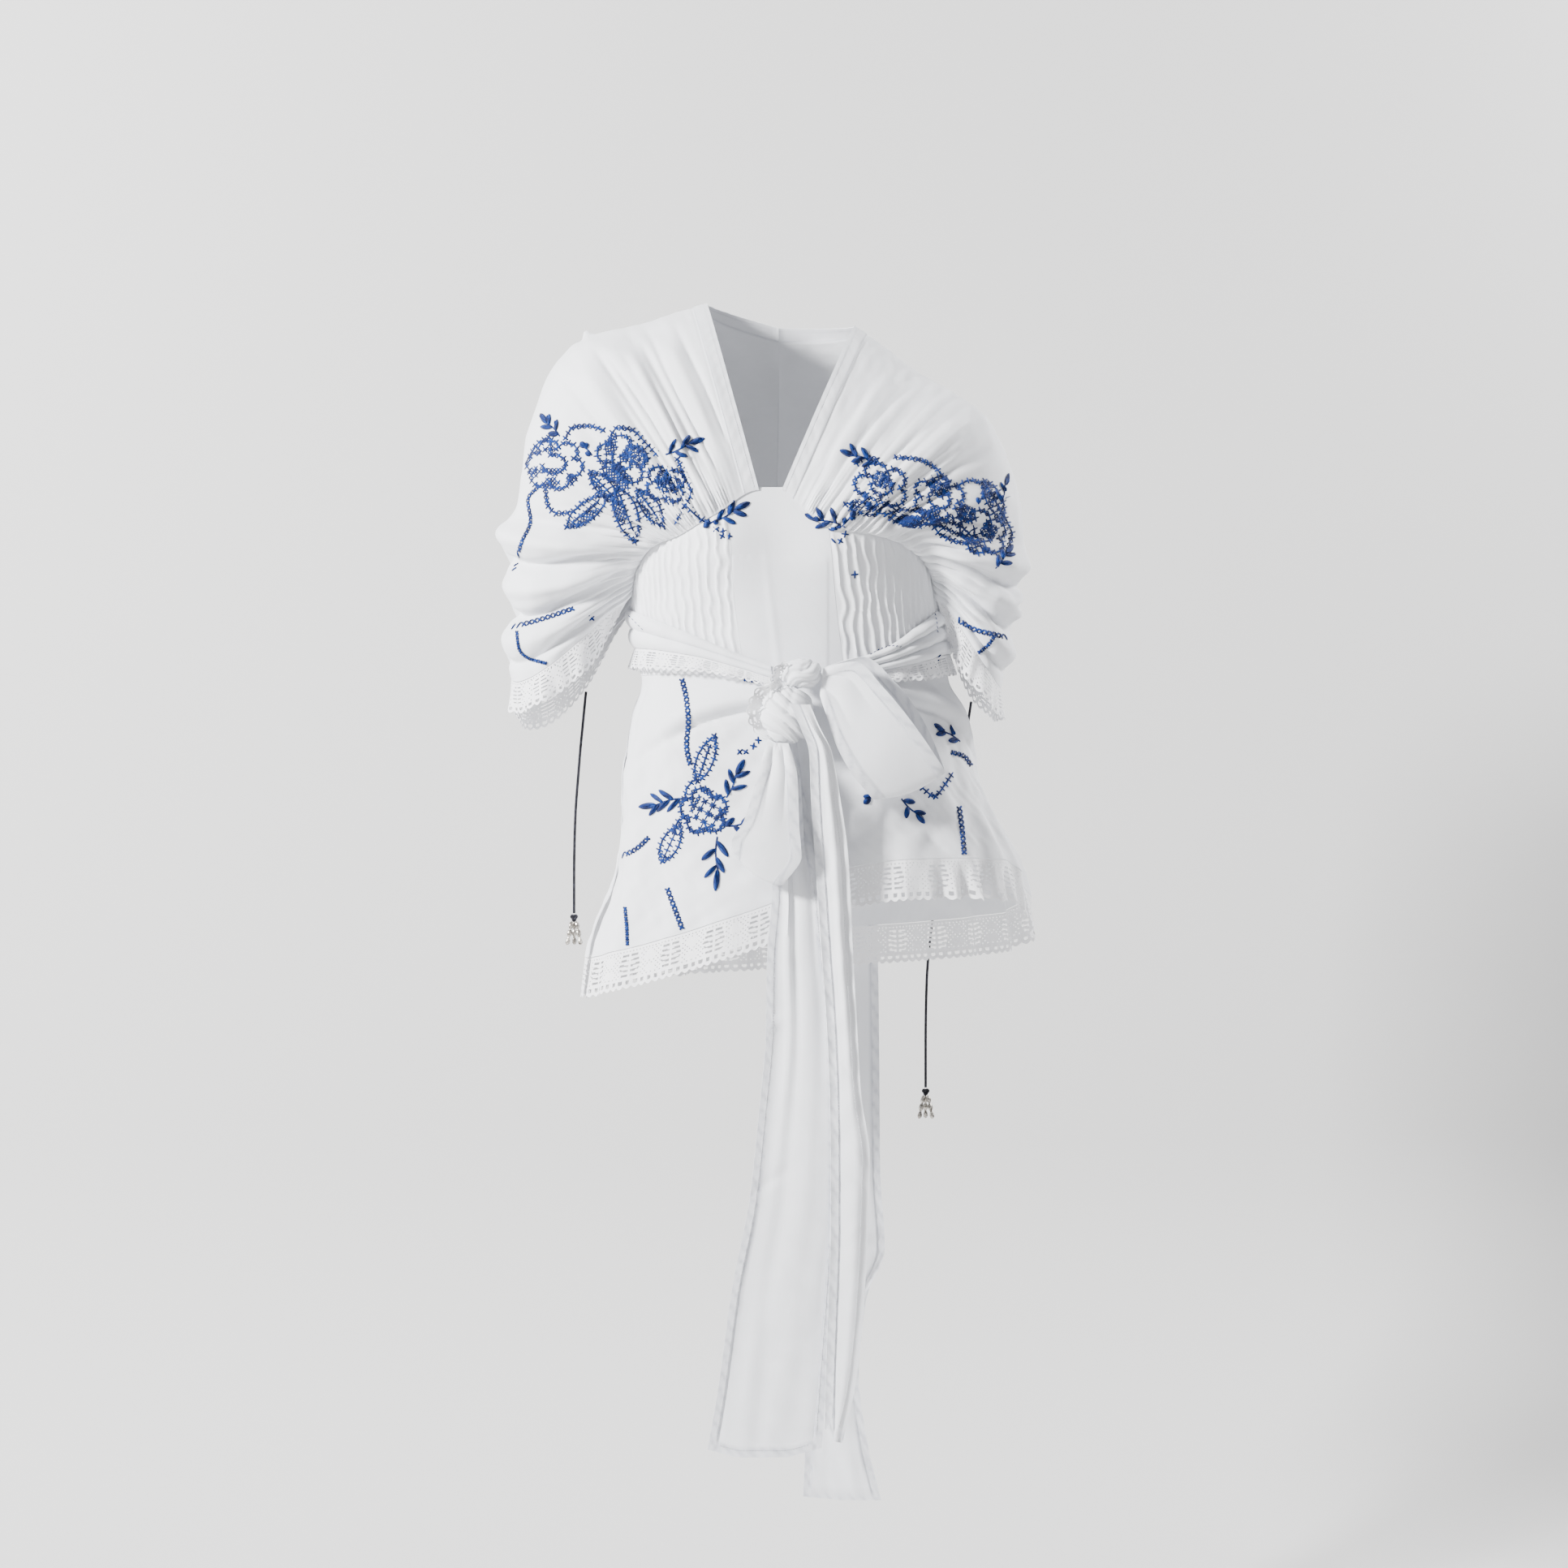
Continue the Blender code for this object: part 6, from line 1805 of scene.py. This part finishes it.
blueLeft = ThreadWork("blueFlowersLeft", blueFinish, "linen", ["capeLeft", "bodicePanel", "tuckedLeft"])
sewRows(blueLeft, (
    ("rose", (103.0, -180.0), 28.0, -0.35, {"petals": 5, "fills": (
        ("dense", 0.1, -0.55, 0.6, 0.14), ("net", 0.0, 0.3, 0.45, 0.25))}),
    ("rose", (163.0, -193.0), 28.0, -0.4, {"petals": 6, "fills": (
        ("dense", 0.0, -0.6, 0.6, 0.15), ("net", -0.2, 0.25, 0.5, 0.3))}),
    ("rose", (209.0, -226.0), 26.0, -0.5, {"petals": 5, "fills": (
        ("dense", 0.0, -0.5, 0.5, 0.15), ("net", 0.1, 0.3, 0.4, 0.3))}),
    ("leaf", (135.0, -212.0), 27.0, -0.1, 0.3, True),
    ("leaf", (178.0, -226.0), 25.0, -0.4, 0.36),
    ("leaf", (220.0, -192.0), 22.0, -1.1, 0.4, True),
    ("leaf", (86.0, -203.0), 20.0, -0.2, 0.3),
    ("dense", (136.0, -216.0), 24.0, 4.4, -0.1),
    ("net", (190.0, -206.0), 12.0, 10.0, -0.4),
    ("crosses", [(118, -150), (140, -152), (158, -160), (172, -176)], -0.3),
    ("crosses", [(182, -178), (196, -172), (212, -178), (221, -190)], -0.4),
    ("crosses", [(226, -200), (234, -213), (240, -226), (236, -240)], -0.5),
    ("crosses", [(78, -156), (86, -150), (98, -152)], -0.3),
    ("sprig", (98.0, -155.0), 2.75, 38.0, 4),
    ("sprig", (66.0, -222.0), 2.75, 42.0, 4),
    ("sprig", (64.0, -220.0), 0.75, 18.0, 2),
    ("sprig", (227.0, -196.0), 1.2, 34.0, 4),
    ("sprig", (222.0, -262.0), 0.85, 30.0, 4),
    ("sprig", (203.0, -197.0), 1.0, 16.0, 2),
    ("scatter", ((54, -236), (61, -236), (66, -229), (76, -270)), 0.3),
    ("chain", [(176, -306), (190, -319), (208, -327), (236, -333)], 5.4, 4.6),
    ("chain", [(222, -331), (214, -342), (200, -352)], 5.0, 3.0),
))
blueLeft.finishWork()

blueLow = ThreadWork("blueFlowersLow", blueFinish, "linen",
                     ["peplumFront", "wrapRight", "wrapLeft", "tuckedLeft", "tuckedRight"])
sewRows(blueLow, (
    ("chain", [(-102, -376), (-97, -398), (-95, -420), (-97, -445), (-93, -466)]),
    ("straight", [(-117, -592), (-108, -616), (-99, -640)]),
    ("straight", [(-161, -612), (-159, -634), (-158, -657)], 5.0, 3.0),
    ("chain", [(-166, -560), (-152, -554), (-136, -540)], 5.2, 4.6),
    ("straight", [(-38, -377), (-24, -379), (-4, -381)], 5.2, 4.4),
    ("leaf", (-77.0, -459.0), 25.0, 1.2, 0.36),
    ("rose", (-79.0, -513.0), 25.0, -0.5, {"petals": 5, "squash": 0.95, "cup": False, "fills": (
        ("wide", 0.1, -0.1, 0.85, 0.85), ("dense", -0.45, 0.1, 0.12, 0.42),
        ("dense", 0.35, 0.0, 0.13, 0.13),
        ("dense", -0.1, 0.72, 0.34, 0.11))}),
    ("leaf", (-113.0, -546.0), 21.0, 1.1, 0.45),
    ("crosses", [(-88, -480), (-96, -488), (-99, -500)], 0.2),
    ("crosses", [(-101, -520), (-108, -526), (-110, -534)], 0.2),
    ("sprig", (-100.0, -500.0), 3.25, 46.0, 5),
    ("sprig", (-56.0, -499.0), 1.05, 42.0, 4),
    ("sprig", (-59.0, -528.0), 0.0, 34.0, 3),
    ("sprig", (-65.0, -539.0), 4.6, 54.0, 4),
    ("scatter", ((-42, -452), (-36, -452), (-28, -446), (-23, -440)), 0.25),
    ("sprig", (186.0, -441.0), 2.5, 32.0, 3),
    ("sprig", (102.0, -490.0), 3.8, 22.0, 2),
    ("sprig", (124.0, -500.0), -0.9, 34.0, 3),
    ("crosses", [(146, -489), (158, -498), (168, -488), (176, -476)], 0.1),
    ("chain", [(176, -452), (190, -456), (198, -466)], 5.0, 4.2),
    ("straight", [(184, -508), (187, -532), (189, -558)]),
    ("chain", [(150, -368), (160, -362), (164, -350)], 4.6, 3.2),
))
for k in range(9):
    x = 92.0 + k * 3.8
    z = -352.0 + k * 2.9 - 0.24 * k * k
    blueLow.stitch(x, z, x + 2.0, z + 1.1, 1.1, 0.7)
for k in range(5):
    blueLow.stitch(160.0 + 0.6 * k, -308.0 - 4.4 * k, 160.9 + 0.6 * k, -310.4 - 4.4 * k, 1.1, 0.7)
for k in range(7):
    blueLow.stitch(-165.0 + 3.4 * k, -303.0 - 3.4 * k, -163.0 + 3.4 * k, -304.8 - 3.4 * k, 1.1, 0.7)
blueLow.finishWork()


def lineFromEdge(points, distance, edge):
    # a line on a cloth grid at an even distance from one edge
    grid = points if edge in ("top", "bottom") else np.swapaxes(points, 0, 1)
    if edge in ("bottom", "right"):
        grid = grid[::-1]
    at = runLengths(grid)
    lines = zip(at.T, np.swapaxes(grid, 0, 1))
    return np.array([[np.interp(distance, run, line[:, k]) for k in range(3)] for run, line in lines])


sewing = {"pitch": 3.0, "length": 2.1, "lift": 0.55, "radius": 0.36, "height": 0.5, "neck": (4.0, 15.0)}


def sewLine(work, line, middle, skip=0):
    # short white stitches along a line, lying on the outer face
    at = runLengths(line)
    count = int(at[-1] / sewing["pitch"])
    for n in range(skip, count - skip):
        spots = []
        for s in (0.0, 0.5, 1.0):
            place = n * sewing["pitch"] + s * sewing["length"]
            spots.append(np.array([np.interp(place, at, line[:, k]) for k in range(3)]))
        run = spots[-1] - spots[0]
        if np.linalg.norm(run) < 0.4:
            continue
        away = spots[1] - np.array(middle)
        away[2] = 0.0
        away = away - run * np.dot(away, run) / np.dot(run, run)
        away = away / max(np.linalg.norm(away), 1e-6)
        path = [(Vector((p + away * sewing["lift"]) * mm), Vector(away)) for p in spots]
        work.strand(path, sewing["radius"] * mm, sewing["height"] * mm, sides=3, taper=0.5)


print("topstitching")
topstitch = ThreadWork("topstitching", whiteFinish, "linen", [])
for grid in (rightGrid, leftGrid):
    for distance in sewing["neck"]:
        sewLine(topstitch, lineFromEdge(grid, distance, "top"), (0.0, 0.0, 0.0))
for name in ("tailWide", "tailNarrow", "tailBack"):
    behind = (20.0, 0.0, 0.0)
    for edge in ("left", "right", "bottom"):
        sewLine(topstitch, lineFromEdge(clothGrids[name], tails[name]["hem"] - 1.2, edge), behind, skip=4)
for name, middle in (("bowLoopLeft", (110.0, -130.0, 0.0)), ("bowLoopRight", (-10.0, -142.0, 0.0))):
    for edge in ("left", "right"):
        sewLine(topstitch, lineFromEdge(clothGrids[name], bow["hem"], edge), middle, skip=6)
topstitch.finishWork()

# stage, light and camera
stage = {"floorZ": -1.42, "wallY": 0.95, "radius": 0.5, "half": 4.0, "steps": 14, "near": -6.0, "top": 3.2,
         "colour": (0.60, 0.597, 0.593)}


def makeStage():
    bpy.ops.object.select_all(action="DESELECT")
    floorZ, wallY, radius, half = stage["floorZ"], stage["wallY"], stage["radius"], stage["half"]
    rows = [(stage["near"], floorZ)]
    for k in range(stage["steps"] + 1):
        turn = math.pi / 2 * k / stage["steps"]
        rows.append((wallY - radius + radius * math.sin(turn), floorZ + radius - radius * math.cos(turn)))
    rows.append((wallY, stage["top"]))
    vertices = [(x, y, z) for y, z in rows for x in (-half, half)]
    faces = [(2 * k, 2 * k + 1, 2 * k + 3, 2 * k + 2) for k in range(len(rows) - 1)]
    finish, tree, shader = startFinish("paleStudio", stage["colour"], 0.9)
    # seen from behind it is clear, so it never hides the blouse
    side = addNode(tree, "NewGeometry")
    clear = addNode(tree, "BsdfTransparent")
    choice = addNode(tree, "MixShader", {}, {
        "Fac": (side, "Backfacing"), 1: (shader, "BSDF"), 2: (clear, "BSDF")})
    feed(tree, tree.nodes["Material Output"], {"Surface": (choice, "Shader")})
    place = addNode(tree, "TexCoord")
    grain = addNode(tree, "TexNoise", {"Scale": 40.0}, {"Vector": (place, "Object")})
    feed(tree, shader, {"Normal": (addBump(tree, 0.04, None, grain, "Fac"), "Normal")})
    item = newObject("studioSweep", vertices, faces, finish)
    return item


makeStage()

# lamps: place, aim, size, watts, colour
white = (1.0, 1.0, 1.0)
lights = {
    "key": ((-2.75, -1.95, 1.0), (0.05, 0.0, -0.5), 0.6, 520.0, white),
    "fill": ((2.4, -3.2, 0.3), (0.0, 0.0, -0.6), 2.4, 16.0, (0.94, 0.95, 1.0)),
    "back": ((1.95, 0.7, 0.8), (0.0, 0.1, -0.5), 0.7, 110.0, white),
    "top": ((-0.6, -0.6, 2.6), (0.0, 0.3, -0.6), 2.0, 26.0, white),
}
air = {"colour": (0.93, 0.94, 0.97, 1.0), "strength": 0.34}


def addLight(name, place, aim, size, power, colour):
    data = bpy.data.lights.new(name, "AREA")
    data.shape = "SQUARE"
    data.size = size
    data.energy = power
    data.color = colour
    lamp = bpy.data.objects.new(name, data)
    lamp.location = place
    way = Vector(aim) - Vector(place)
    lamp.rotation_euler = way.to_track_quat("-Z", "Y").to_euler()
    bpy.context.scene.collection.objects.link(lamp)


for name, look in lights.items():
    addLight(name, *look)

world = bpy.data.worlds.new("studioAir")
world.use_nodes = True
backdrop = world.node_tree.nodes["Background"]
backdrop.inputs["Color"].default_value = air["colour"]
backdrop.inputs["Strength"].default_value = air["strength"]
bpy.context.scene.world = world

view = {"centre": (0.0034, -0.485), "distance": 5.6, "frameHeight": 1.642, "sensor": 36.0}
cameraData = bpy.data.cameras.new("photoCamera")
cameraData.sensor_width = view["sensor"]
cameraData.sensor_height = view["sensor"]
cameraData.sensor_fit = "HORIZONTAL"
cameraData.lens = view["sensor"] * view["distance"] / view["frameHeight"]
camera = bpy.data.objects.new("photoCamera", cameraData)
camera.location = (view["centre"][0], -view["distance"], view["centre"][1])
camera.rotation_euler = (math.radians(90.0), 0.0, 0.0)
bpy.context.scene.collection.objects.link(camera)
bpy.context.scene.camera = camera

print("finished building")
